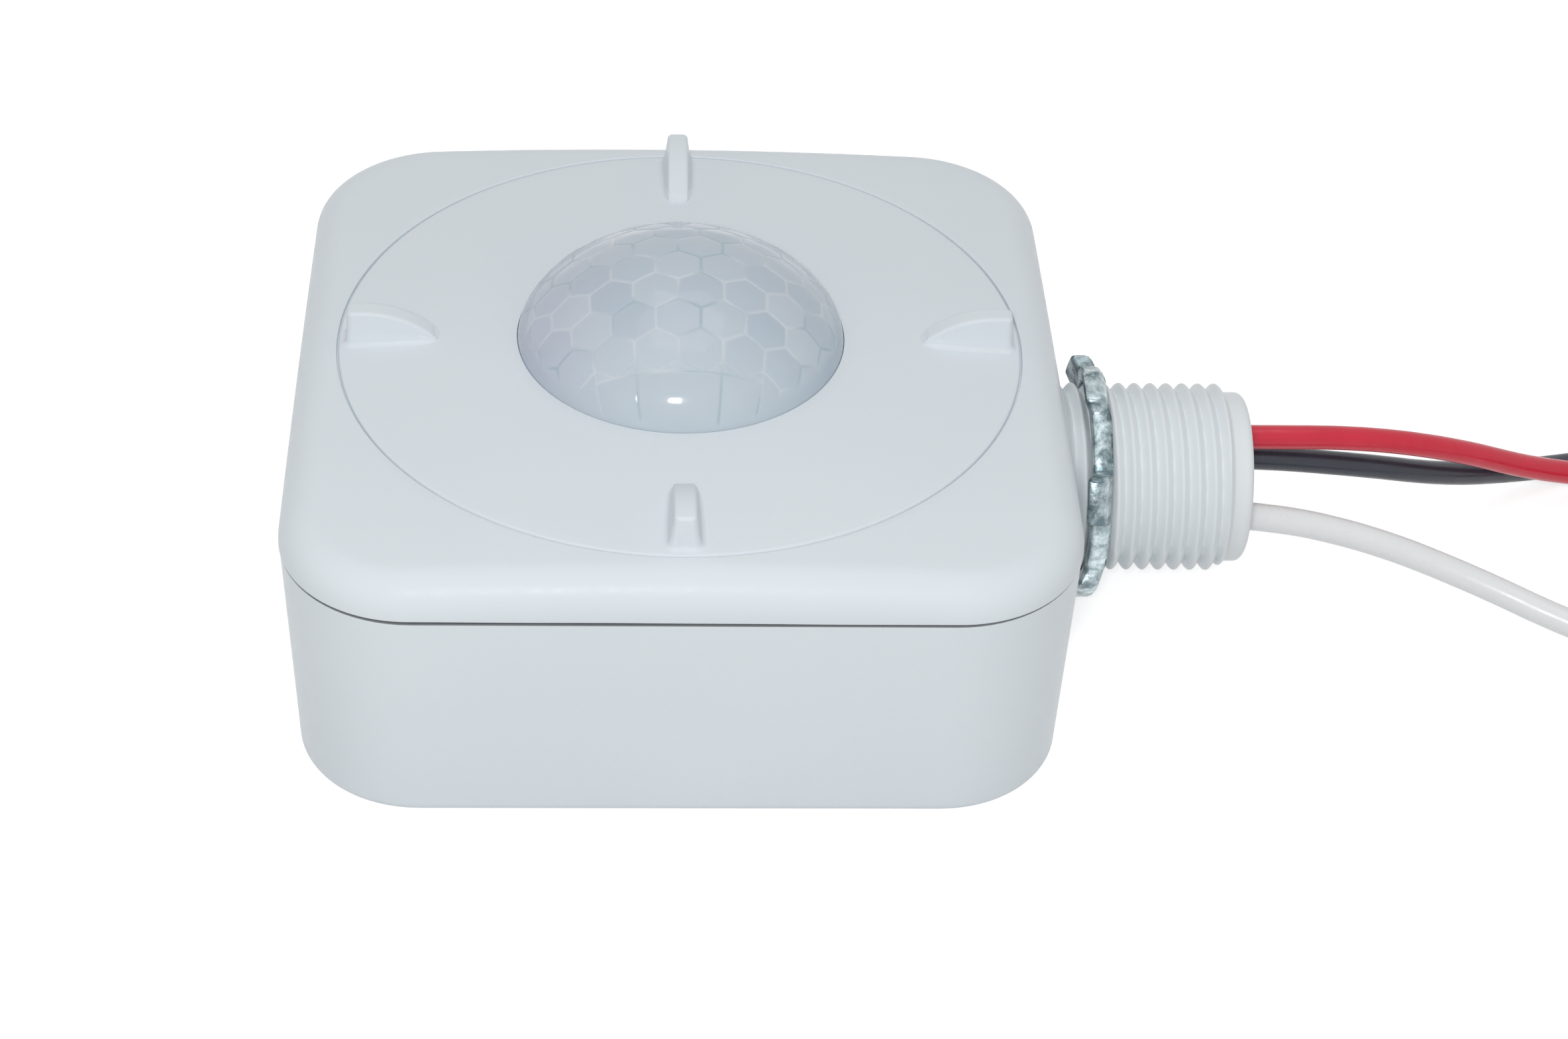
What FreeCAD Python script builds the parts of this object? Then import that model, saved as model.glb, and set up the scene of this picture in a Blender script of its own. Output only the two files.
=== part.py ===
import FreeCAD, Part
import Sketcher
import math
import os
import re
from FreeCAD import Placement, Rotation, Vector

# Ceiling motion sensor with a threaded conduit nipple and three leads, in millimetres.
# The origin is the centre of the rear housing's outer face. +Z runs through the lens, and +X
# runs out along the nipple.

SIZES = {
    # rear housing and front cover
    "box_width": 84.2,
    "corner_radius": 14.2,
    "seam_height": 26.9,
    "seam_gap": 0.15,
    "seam_step": 0.25,
    "draft_angle": 1.95,
    "wall": 2.0,
    "floor_thickness": 2.2,
    "base_edge_radius": 1.2,
    "cover_depth": 6.4,
    "crown_radius": 640.0,
    "cover_edge_radius": 4.2,
    "cover_skin": 4.1,
    "lip_height": 1.8,
    "lip_thickness": 1.2,
    "lip_clearance": 0.2,
    "hook_spacing": 37.4,
    "hook_width": 6.0,
    "hook_thickness": 1.3,
    "hook_drop": 6.5,
    "hook_clearance": 0.5,
    "barb_reach": 0.7,
    "barb_height": 1.6,
    "barb_clearance": 0.3,
    "cut_overrun": 1.0,
    "join_overlap": 0.4,
    # twist-off lens ring and its bayonet
    "ring_radius": 37.3,
    "ring_gap": 0.3,
    "ring_recess_depth": 2.9,
    "ledge_width": 4.8,
    "skirt_thickness": 1.6,
    "lug_reach": 1.8,
    "lug_thickness": 1.0,
    "lug_centre_angle": 45.0,
    "lug_width_angle": 16.0,
    "twist_angle": 30.0,
    "notch_clearance": 0.1,
    "notch_clearance_angle": 2.0,
    "stop_width_angle": 5.0,
    "stop_clearance_angle": 1.0,
    "fin_inset": 1.05,
    "fin_length": 9.8,
    "fin_height": 3.9,
    "fin_width": 2.5,
    "fin_root": 0.3,
    "fin_back_slope": 0.15,
    "fin_flat": 1.5,
    "fin_toe": 0.65,
    "fin_curve_radius": 12.2,
    # lens
    "lens_rim_radius": 18.0,
    "dome_cap_radius": 22.6,
    "dome_shoulder_radius": 7.7,
    "lens_thickness": 0.8,
    "lens_mouth_gap": 0.1,
    "lens_flange_overlap": 1.9,
    "lens_flange_thickness": 0.8,
    "lens_flange_gap": 0.2,
    "lens_seat_gap": 0.05,
    "retainer_width": 4.7,
    "retainer_overlap": 1.0,
    "retainer_thickness": 1.0,
    "stake_inset": 1.8,
    "stake_radius": 0.8,
    "stake_clearance": 0.05,
    "stake_head": 0.5,
    # conduit nipple and locknut
    "nipple_height": 13.9,
    "nipple_reach": 21.9,
    "nipple_chamfer": 0.8,
    "thread_crest_radius": 10.67,
    "thread_depth": 1.07,
    "thread_pitch": 1.814,
    "thread_start": 0.6,
    "thread_count": 10,
    "thread_fall_end": 0.38,
    "thread_rise_start": 0.56,
    "thread_rise_end": 0.9,
    "nipple_wall": 1.8,
    "nipple_hole_clearance": 0.1,
    "flange_margin": 2.33,
    "flange_height": 21.4,
    "flange_thickness": 2.4,
    "flange_clearance": 0.02,
    "guide_clearance": 0.2,
    "guide_thickness": 1.5,
    "nut_offset": 5.7,
    "nut_thickness": 2.4,
    "nut_ring_width": 1.78,
    "nut_edge": 0.5,
    "nut_dish": 0.3,
    "nut_lug_reach": 1.4,
    "nut_lug_angle": 25.0,
    "nut_lug_bend": 0.9,
    "nut_clearance": 0.05,
    "nut_turn": 5.0,
    "plug_offset": 7.9,
    "plug_length": 6.0,
    # circuit boards and their screws
    "board_margin": 8.1,
    "board_corner_radius": 3.0,
    "board_thickness": 1.6,
    "power_post_length": 2.0,
    "sensor_post_length": 9.2,
    "post_inset": 5.0,
    "post_radius": 3.0,
    "screw_radius": 1.0,
    "screw_hole_clearance": 0.05,
    "board_hole_radius": 1.4,
    "screw_head_radius": 2.2,
    "screw_head_height": 1.5,
    "sensor_screw_length": 6.0,
    "power_screw_length": 2.6,
    # parts on the sensor board
    "pyro_radius": 4.6,
    "pyro_height": 4.7,
    "pyro_rim_width": 0.3,
    "pyro_rim_height": 0.5,
    "pyro_window_length": 4.0,
    "pyro_window_width": 3.0,
    "pyro_window_depth": 0.4,
    "led_radius": 1.5,
    "led_height": 3.4,
    "led_foot_radius": 1.9,
    "led_foot_height": 0.9,
    "led_x": 9.0,
    "led_y": 6.0,
    "photocell_radius": 2.5,
    "photocell_thickness": 2.0,
    "photocell_leg_spread": 3.4,
    "photocell_leg_width": 0.5,
    "photocell_leg_length": 1.2,
    "photocell_leg_sink": 0.2,
    "photocell_x": -9.0,
    "photocell_y": 8.0,
    "dip_case_length": 11.7,
    "dip_case_width": 6.2,
    "dip_case_height": 3.6,
    "dip_case_x": -8.0,
    "dip_case_y": -18.0,
    "dip_pitch": 2.54,
    "dip_travel": 1.6,
    "dip_knob_width": 1.1,
    "dip_knob_height": 1.6,
    "dip_slot_length": 3.4,
    "dip_slot_width": 1.7,
    "dip_slot_depth": 1.2,
    "dip_knob_clearance": 0.05,
    "dip_end_clearance": 0.2,
    "trimmer_case_length": 6.6,
    "trimmer_case_width": 6.6,
    "trimmer_case_height": 3.2,
    "trimmer_y": -16.0,
    "sensitivity_x": 12.0,
    "time_delay_x": 21.0,
    "rotor_radius": 2.2,
    "rotor_depth": 1.4,
    "rotor_clearance": 0.05,
    "rotor_stand": 0.3,
    "rotor_slot_width": 0.7,
    "rotor_slot_depth": 0.8,
    # parts on the power board
    "relay_length": 28.5,
    "relay_width": 10.2,
    "relay_height": 11.0,
    "relay_x": -13.0,
    "relay_y": 22.0,
    "film_capacitor_length": 18.0,
    "film_capacitor_width": 8.0,
    "film_capacitor_height": 10.8,
    "film_capacitor_x": -15.0,
    "film_capacitor_y": -20.0,
    "electrolytic_radius": 4.0,
    "electrolytic_height": 11.0,
    "electrolytic_bead": 0.2,
    "electrolytic_bead_height": 1.0,
    "electrolytic_x": -24.0,
    "electrolytic_y": 3.0,
    "core_length": 13.0,
    "core_width": 11.0,
    "core_height": 10.0,
    "core_x": -8.0,
    "core_y": 0.0,
    "winding_radius": 6.2,
    "winding_height": 7.0,
    "varistor_radius": 4.5,
    "varistor_thickness": 3.6,
    "varistor_lift": 6.0,
    "varistor_x": 8.0,
    "varistor_y": -20.0,
    "varistor_leg_width": 1.0,
    "varistor_leg_spread": 5.0,
    "varistor_leg_length": 3.0,
    "fuse_radius": 1.8,
    "fuse_length": 10.0,
    "fuse_cap_radius": 2.1,
    "fuse_cap_length": 2.0,
    "fuse_lift": 2.4,
    "fuse_x": 10.5,
    "fuse_y": -9.0,
    "fuse_foot_length": 1.0,
    "fuse_foot_width": 1.6,
    "fuse_foot_height": 1.2,
    "bridge_rectifier_length": 8.4,
    "bridge_rectifier_width": 6.4,
    "bridge_rectifier_height": 3.2,
    "bridge_rectifier_x": 10.0,
    "bridge_rectifier_y": 6.0,
    "header_x": 11.0,
    "header_y": 22.0,
    "header_width": 2.5,
    "header_pitch": 2.54,
    "header_pin": 0.64,
    "header_well": 0.9,
    "header_well_depth": 5.0,
    "header_pin_depth": 4.0,
    "socket_height": 8.5,
    # leads
    "lead_radius": 1.4,
    "white_lead_radius": 1.6,
    "coil_inner_turn": 11.8,
    "tie_thickness": 0.4,
    "tie_width": 3.0,
    "bare_end_radius": 0.6,
    "bare_end_length": 7.0,
    "bare_end_root": 0.3,
    "bare_end_bend": 25.0,
    "solder_radius": 1.9,
    "solder_height": 1.5,
}

# sizes that follow from the ones above, so that each fit is written once
DERIVED = {
    "crown_height": "seam_height + cover_depth",
    "crown_centre": "crown_height - crown_radius",
    "cover_base": "seam_height + seam_gap",
    "cover_underside": "crown_height - cover_skin",
    "lip_base": "seam_height - lip_height",
    "lip_face": "box_width / 2 - seam_step - wall - lip_clearance",
    "hook_face": "box_width / 2 - seam_step - wall - hook_clearance",
    "barb_low": "seam_height - hook_drop",
    "ledge_top": "crown_height - ring_recess_depth",
    "opening_radius": "ring_radius - ledge_width",
    "ring_low": "ledge_top + ring_gap",
    "skirt_face": "opening_radius - ring_gap",
    "lug_top": "cover_underside - ring_gap",
    "lug_low": "lug_top - lug_thickness",
    "fin_outer_radius": "ring_radius - fin_inset",
    "lens_flange_radius": "lens_rim_radius + lens_flange_overlap",
    "lens_flange_top": "ring_low + lens_flange_thickness",
    "shoulder_reach": "lens_rim_radius - dome_shoulder_radius",
    "cap_reach": "dome_cap_radius - dome_shoulder_radius",
    "cap_rise": "sqrt(cap_reach * cap_reach - shoulder_reach * shoulder_reach)",
    "dome_apex": "lens_flange_top - cap_rise + dome_cap_radius",
    "retainer_inner_radius": "lens_flange_radius - retainer_overlap",
    "retainer_radius": "retainer_inner_radius + retainer_width",
    "stake_circle_radius": "retainer_radius - stake_inset",
    "thread_root_radius": "thread_crest_radius - thread_depth",
    "nipple_bore_radius": "thread_root_radius - nipple_wall",
    "nipple_end": "box_width / 2 + nipple_reach",
    "flange_width": "2 * (thread_crest_radius + flange_margin)",
    "nut_face": "box_width / 2 + nut_offset",
    "nut_back": "nut_face - nut_thickness",
    "nut_ring_radius": "thread_crest_radius + nut_ring_width",
    "nut_lug_radius": "nut_ring_radius + nut_lug_reach",
    "plug_far_end": "box_width / 2 + plug_offset",
    "board_width": "box_width - 2 * board_margin",
    "post_spacing": "board_width - 2 * post_inset",
    "power_board_height": "floor_thickness + power_post_length",
    "power_board_top": "power_board_height + board_thickness",
    "sensor_board_top": "cover_underside - sensor_post_length",
    "photocell_seat": "sensor_board_top + photocell_leg_length - photocell_leg_sink",
    "sensor_board_height": "sensor_board_top - board_thickness",
    "dip_top": "sensor_board_top + dip_case_height",
    "trimmer_well_base": "sensor_board_top + trimmer_case_height - rotor_depth",
    "header_pin_low": "power_board_top + socket_height - header_pin_depth",
}

doc = FreeCAD.newDocument("motion_sensor")
sheet = doc.addObject("Spreadsheet::Sheet", "sizes")
for row, (name, size) in enumerate(SIZES.items(), start=1):
    sheet.set(f"A{row}", name)
    sheet.set(f"B{row}", str(size))
    sheet.setAlias(f"B{row}", name)
doc.recompute()

PIECES = []
TINY = 1e-6
PLANES = {"XY": "XY_Plane", "XZ": "XZ_Plane", "YZ": "YZ_Plane"}
ALONG_X = Rotation(Vector(0, 1, 0), 90)


# ---------------------------------------------------------------- helpers


def bound(text):
    """An expression of size names, with each name pointed at its cell in the sheet."""

    def cell(word):
        name = word[0]
        if name in DERIVED:
            return f"({bound(DERIVED[name])})"
        return f"sizes.{name}" if name in SIZES else name

    return re.sub(r"[a-z_]+", cell, str(text))


def number(text):
    """The value of an expression of size names."""
    return float(sheet.evalExpression(bound(text)))


def keep(thing, label):
    """Names a finished sub-part, which is written to its own file."""
    thing.Label = label
    PIECES.append(thing)
    return thing


def place(thing, x="0", y="0", z="0", rotation=None):
    """Puts a sub-part or a primitive at a point given by expressions."""
    if rotation is not None:
        thing.Placement = Placement(Vector(0, 0, 0), rotation)
    for axis, text in (("x", x), ("y", y), ("z", z)):
        thing.setExpression(f"Placement.Base.{axis}", bound(text))
    return thing


def body(name):
    return doc.addObject("PartDesign::Body", name)


def sketch_on(owner, plane, name, height="0"):
    """A sketch on one of the body's own origin planes, moved along the plane's normal."""
    sketch = owner.newObject("Sketcher::SketchObject", name)
    support = [f for f in owner.Origin.OriginFeatures if f.Role == PLANES[plane]][0]
    sketch.AttachmentSupport = [(support, "")]
    sketch.MapMode = "FlatFace"
    sketch.setExpression("AttachmentOffset.Base.z", bound(height))
    return sketch


def hold(sketch, geometry, end, u, v):
    """Holds one point of a sketch at (u, v), each an expression of the sizes."""
    for kind, text, axis in (("DistanceX", u, -2), ("DistanceY", v, -1)):
        if abs(number(text)) < TINY:
            sketch.addConstraint(Sketcher.Constraint("PointOnObject", geometry, end, axis))
            continue
        index = sketch.addConstraint(
            Sketcher.Constraint(kind, -1, 1, geometry, end, number(text))
        )
        sketch.setExpression(f"Constraints[{index}]", bound(text))


def set_radius(sketch, geometry, radius):
    index = sketch.addConstraint(Sketcher.Constraint("Radius", geometry, number(radius)))
    sketch.setExpression(f"Constraints[{index}]", bound(radius))


def arc_between(start, end, radius, side):
    """The shorter arc from start to end, centred on the left (side 1) or right (-1) of the way."""
    chord = end - start
    across = Vector(-chord.y, chord.x, 0).normalize()
    rise = math.sqrt(max(radius**2 - (chord.Length / 2) ** 2, 0))
    centre = (start + end) * 0.5 + across * rise * side
    first, last = (start, end) if side > 0 else (end, start)
    low = math.atan2(first.y - centre.y, first.x - centre.x)
    high = math.atan2(last.y - centre.y, last.x - centre.x)
    if high < low:
        high += 2 * math.pi
    return Part.ArcOfCircle(Part.Circle(centre, Vector(0, 0, 1), radius), low, high)


def outline(sketch, points, arcs=None):
    """A closed outline through points. arcs maps a point's index to (radius, side) of the next edge."""
    arcs = arcs or {}
    corners = [Vector(number(u), number(v), 0) for u, v in points]
    first = sketch.GeometryCount
    count = len(points)
    for i, corner in enumerate(corners):
        following = corners[(i + 1) % count]
        if i in arcs:
            radius, side = arcs[i]
            sketch.addGeometry(arc_between(corner, following, number(radius), side))
        else:
            sketch.addGeometry(Part.LineSegment(corner, following))
    # An arc runs anticlockwise, so one that bends right starts at its far end.
    ends = []
    for i in range(count):
        start = sketch.Geometry[first + i].StartPoint
        ends.append((1, 2) if start.distanceToPoint(corners[i]) < 1e-4 else (2, 1))
    for i in range(count):
        before = (i - 1) % count
        sketch.addConstraint(
            Sketcher.Constraint(
                "Coincident", first + before, ends[before][1], first + i, ends[i][0]
            )
        )
    for i, (u, v) in enumerate(points):
        hold(sketch, first + i, ends[i][0], u, v)
        if i in arcs:
            set_radius(sketch, first + i, arcs[i][0])
    return sketch


def rectangle(sketch, u0, v0, u1, v1):
    return outline(sketch, [(u0, v0), (u1, v0), (u1, v1), (u0, v1)])


def rounded_square(sketch, half, radius):
    """A square with round corners, centred on the sketch's origin."""
    inner = f"({half}) - ({radius})"
    points = [
        (f"-({inner})", f"-({half})"),
        (inner, f"-({half})"),
        (half, f"-({inner})"),
        (half, inner),
        (inner, half),
        (f"-({inner})", half),
        (f"-({half})", inner),
        (f"-({half})", f"-({inner})"),
    ]
    return outline(sketch, points, {i: (radius, 1) for i in (1, 3, 5, 7)})


def circle(sketch, radius, u="0", v="0"):
    index = sketch.addGeometry(
        Part.Circle(Vector(number(u), number(v), 0), Vector(0, 0, 1), number(radius))
    )
    if abs(number(u)) < TINY and abs(number(v)) < TINY:
        sketch.addConstraint(Sketcher.Constraint("Coincident", index, 3, -1, 1))
    else:
        hold(sketch, index, 3, u, v)
    set_radius(sketch, index, radius)
    return sketch


def four_circles(sketch, radius, spacing):
    for u in (f"{spacing} / 2", f"-{spacing} / 2"):
        for v in (f"{spacing} / 2", f"-{spacing} / 2"):
            circle(sketch, radius, u, v)
    return sketch


def feature(owner, kind, name, sketch, **settings):
    """A sketch-based feature. Settings given as text are expressions of the sizes."""
    made = owner.newObject(f"PartDesign::{kind}", name)
    made.Profile = sketch
    for key, setting in settings.items():
        if isinstance(setting, str) and key in ("Length", "Length2", "Angle", "TaperAngle"):
            made.setExpression(key, bound(setting))
        else:
            setattr(made, key, setting)
    doc.recompute()
    return made


def pad(owner, name, sketch, length, **more):
    return feature(owner, "Pad", name, sketch, Length=length, **more)


def removed(owner, make):
    """Runs make, which cuts the body, and makes sure that it took material away."""
    before = owner.Shape.Volume
    made = make()
    if not owner.Shape.Volume < before - TINY:
        raise RuntimeError(f"{made.Name} cuts nothing from {owner.Name}")
    return made


def pocket(owner, name, sketch, length, **more):
    return removed(owner, lambda: feature(owner, "Pocket", name, sketch, Length=length, **more))


def bore(owner, name, sketch, **more):
    """A pocket that runs through everything on one side of its sketch."""
    return removed(owner, lambda: feature(owner, "Pocket", name, sketch, Type=1, **more))


def revolve(owner, name, sketch):
    return feature(
        owner, "Revolution", name, sketch, ReferenceAxis=(sketch, ["V_Axis"]), Angle=360.0
    )


def groove(owner, name, sketch):
    return removed(
        owner,
        lambda: feature(
            owner, "Groove", name, sketch, ReferenceAxis=(sketch, ["V_Axis"]), Angle=360.0
        ),
    )


def around(owner, name, features, count):
    """Repeats features round the body's Z axis."""
    pattern = owner.newObject("PartDesign::PolarPattern", name)
    pattern.Originals = features
    pattern.Axis = ([f for f in owner.Origin.OriginFeatures if f.Role == "Z_Axis"][0], [""])
    pattern.Angle = 360
    pattern.Occurrences = count
    owner.Tip = pattern
    doc.recompute()
    return pattern


def fillet(owner, name, edge_test, radius):
    """Rounds the body's edges that edge_test picks."""
    tip = owner.Tip
    names = [f"Edge{i}" for i, edge in enumerate(tip.Shape.Edges, start=1) if edge_test(edge)]
    made = owner.newObject("PartDesign::Fillet", name)
    made.Base = (tip, names)
    made.setExpression("Radius", bound(radius))
    doc.recompute()
    return made


def block(name, length, width, height, x, y, z):
    """A box centred on (x, y) that stands on height z."""
    made = doc.addObject("Part::Box", name)
    for key, text in (("Length", length), ("Width", width), ("Height", height)):
        made.setExpression(key, bound(text))
    return place(made, f"({x}) - ({length}) / 2", f"({y}) - ({width}) / 2", z)


def rod(name, radius, height, x, y, z, rotation=None):
    made = doc.addObject("Part::Cylinder", name)
    made.setExpression("Radius", bound(radius))
    made.setExpression("Height", bound(height))
    return place(made, x, y, z, rotation)


def cut(name, base, tool):
    made = doc.addObject("Part::Cut", name)
    made.Base = base
    made.Tool = tool
    return made


def fuse(name, pieces):
    made = doc.addObject("Part::MultiFuse", name)
    made.Shapes = pieces
    return made


def group(name, pieces):
    made = doc.addObject("Part::Compound", name)
    made.Links = pieces
    return made


# ---------------------------------------------------------------- shell

def crown_at(radius):
    """The height of the crowned front surface at a distance from the axis."""
    return f"(crown_centre + sqrt(crown_radius * crown_radius - ({radius}) * ({radius})))"


def inner_wall(height):
    """The distance from the axis to the inside of a drafted side wall."""
    return f"(box_width / 2 - seam_step - wall - (seam_height - ({height})) * tan(draft_angle))"


FLANGE_FACE = f"({inner_wall('nipple_height - flange_height / 2')} - flange_clearance)"


def trim_to_crown(owner):
    """Cuts the body's front back to the crowned surface, which is part of a large sphere."""
    sketch = sketch_on(owner, "XZ", "above_crown")
    reach = "box_width"
    points = [
        ("0", "crown_height"),
        (reach, crown_at(reach)),
        (reach, "crown_height + box_width / 4"),
        ("0", "crown_height + box_width / 4"),
    ]
    outline(sketch, points, {0: ("crown_radius", -1)})
    return groove(owner, "crown", sketch)


def drafted(owner, name, kind, inset, base, top):
    """A drafted rounded square between two heights, inset from the housing's outer surface."""
    sections = []
    for end, height in (("low", base), ("high", top)):
        slope = f"(seam_height - ({height})) * tan(draft_angle)"
        half = f"box_width / 2 - seam_step - {inset} - {slope}"
        sketch = sketch_on(owner, "XY", f"{name}_{end}", height)
        rounded_square(sketch, half, f"corner_radius - {inset} - {slope}")
        sections.append(sketch)
    made = owner.newObject(f"PartDesign::{kind}", name)
    made.Profile = sections[0]
    made.Sections = [sections[1]]
    made.Ruled = True
    doc.recompute()
    return made


def rear_housing():
    housing = body("rear_housing")
    drafted(housing, "outside", "AdditiveLoft", "0", "0", "seam_height")

    removed(
        housing,
        lambda: drafted(
            housing, "inside", "SubtractiveLoft", "wall", "floor_thickness", "seam_height"
        ),
    )

    def on_base(edge):
        return max(abs(v.Point.z) for v in edge.Vertexes) < TINY

    fillet(housing, "base_edge", on_base, "base_edge_radius")
    posts = sketch_on(housing, "XY", "post_plan", "floor_thickness / 2")
    four_circles(posts, "post_radius", "post_spacing")
    pad(housing, "posts", posts, "power_board_height - floor_thickness / 2")
    pilots = sketch_on(housing, "XY", "pilot_plan", "power_board_height")
    four_circles(pilots, "screw_radius + screw_hole_clearance", "post_spacing")
    pocket(housing, "pilot_holes", pilots, "power_board_height - floor_thickness / 2")

    # upright guides on each side of the nipple's flange, which stop it turning
    guides = sketch_on(housing, "XY", "guide_plan", "floor_thickness / 2")
    near = "flange_width / 2 + guide_clearance"
    far = f"{near} + guide_thickness"
    back = f"{FLANGE_FACE} - flange_thickness - cut_overrun"
    into_wall = f"{inner_wall('floor_thickness')} + wall / 2"
    rectangle(guides, back, near, into_wall, far)
    rectangle(guides, back, f"-({far})", into_wall, f"-({near})")
    top = "nipple_height + flange_height / 2"
    pad(housing, "flange_guides", guides, f"{top} - floor_thickness / 2")

    hole = sketch_on(housing, "YZ", "nipple_hole_plan")
    circle(hole, "thread_crest_radius + nipple_hole_clearance", "0", "nipple_height")
    bore(housing, "nipple_hole", hole, Reversed=True)

    # recesses inside the front and back walls for the cover's snap hooks
    recess = sketch_on(housing, "XY", "recess_plan", "barb_low - barb_clearance")
    deep = "hook_face + barb_reach + barb_clearance"
    shallow = "hook_face - cut_overrun"
    for side in ("", "-"):
        for across in ("hook_spacing / 2", "-hook_spacing / 2"):
            left = f"{across} - hook_width / 2 - barb_clearance"
            right = f"{across} + hook_width / 2 + barb_clearance"
            low, high = (shallow, deep) if side == "" else (deep, shallow)
            rectangle(recess, left, f"{side}({low})", right, f"{side}({high})")
    pocket(housing, "hook_recesses", recess, "barb_height + 2 * barb_clearance", Reversed=True)
    return keep(housing, "rear_housing")


def sector(sketch, inner, outer, middle, width):
    """A four-sided sector from one radius to another, round an angle in degrees."""
    low = f"({middle} - ({width}) / 2)"
    high = f"({middle} + ({width}) / 2)"
    points = [
        (f"({inner}) * cos({low})", f"({inner}) * sin({low})"),
        (f"({outer}) * cos({low})", f"({outer}) * sin({low})"),
        (f"({outer}) * cos({high})", f"({outer}) * sin({high})"),
        (f"({inner}) * cos({high})", f"({inner}) * sin({high})"),
    ]
    return outline(sketch, points, {1: (outer, 1)})


def front_cover():
    cover = body("front_cover")
    outer = sketch_on(cover, "XY", "outer_plan", "cover_base")
    rounded_square(outer, "box_width / 2", "corner_radius")
    pad(cover, "block", outer, "cover_depth + cut_overrun")
    trim_to_crown(cover)

    middle = number("seam_height + cover_depth / 2")
    reach = number("box_width / 2 - corner_radius - cut_overrun")

    def on_rim(edge):
        above = min(v.Point.z for v in edge.Vertexes) > middle
        return above and max(abs(v.Point.x) for v in edge.Vertexes) > reach

    fillet(cover, "front_edge", on_rim, "cover_edge_radius")
    hollow = sketch_on(cover, "XY", "hollow_plan", "cover_base")
    rounded_square(hollow, "box_width / 2 - wall", "corner_radius - wall")
    pocket(cover, "hollow", hollow, "cover_underside - cover_base", Reversed=True)

    recess = sketch_on(cover, "XY", "recess_plan", "ledge_top")
    circle(recess, "ring_radius + ring_gap")
    bore(cover, "ring_recess", recess, Reversed=True)
    opening = sketch_on(cover, "XY", "opening_plan", "crown_height")
    circle(opening, "opening_radius")
    bore(cover, "opening", opening)

    # bayonet: the ring's lugs drop through the notches, then turn back under the ledge
    notch = sketch_on(cover, "XY", "notch_plan", "crown_height")
    notch_width = "lug_width_angle + 2 * notch_clearance_angle"
    notch_reach = "opening_radius + lug_reach + notch_clearance"
    unlocked = "lug_centre_angle + twist_angle"
    sector(notch, "opening_radius - cut_overrun", notch_reach, unlocked, notch_width)
    cut_notch = bore(cover, "notch", notch)
    around(cover, "notches", [cut_notch], 4)
    stop = sketch_on(cover, "XY", "stop_plan", "lug_low")
    beside = "(lug_width_angle + stop_width_angle) / 2 + stop_clearance_angle"
    for middle in (
        f"lug_centre_angle - ({beside})",
        f"{unlocked} + {beside} + notch_clearance_angle",
    ):
        sector(stop, "opening_radius + notch_clearance", notch_reach, middle, "stop_width_angle")
    stops = pad(cover, "stop", stop, "cover_underside - lug_low + join_overlap")
    around(cover, "stops", [stops], 4)

    # lip that locates the cover inside the housing's wall
    lip = sketch_on(cover, "XY", "lip_plan", "lip_base")
    corner = "corner_radius - wall - lip_clearance"
    rounded_square(lip, "lip_face", corner)
    rounded_square(lip, "lip_face - lip_thickness", f"{corner} - lip_thickness")
    pad(cover, "lip", lip, "cover_underside - lip_base + join_overlap")

    posts = sketch_on(cover, "XY", "post_plan", "sensor_board_top")
    four_circles(posts, "post_radius", "post_spacing")
    pad(cover, "posts", posts, "sensor_post_length + join_overlap")
    pilots = sketch_on(cover, "XY", "pilot_plan", "sensor_board_top")
    four_circles(pilots, "screw_radius + screw_hole_clearance", "post_spacing")
    pocket(cover, "pilot_holes", pilots, "sensor_screw_length", Reversed=True)

    # snap hooks at the front and back, each an arm with a barb at its tip
    for side, toward in (("front", "-"), ("back", "")):
        arm = sketch_on(cover, "XY", f"{side}_arm_plan", "barb_low")
        barb = sketch_on(cover, "XY", f"{side}_barb_plan", "barb_low")
        inside = "hook_face - hook_thickness"
        for across in ("hook_spacing / 2", "-hook_spacing / 2"):
            left = f"{across} - hook_width / 2"
            right = f"{across} + hook_width / 2"
            for sketch, tip in ((arm, "hook_face"), (barb, "hook_face + barb_reach")):
                low, high = (inside, tip) if toward == "" else (tip, inside)
                rectangle(sketch, left, f"{toward}({low})", right, f"{toward}({high})")
        pad(cover, f"{side}_arms", arm, "cover_underside - barb_low + join_overlap")
        pad(cover, f"{side}_barbs", barb, "barb_height")
    return keep(cover, "front_cover")


# ---------------------------------------------------------------- lens ring and lens


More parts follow.
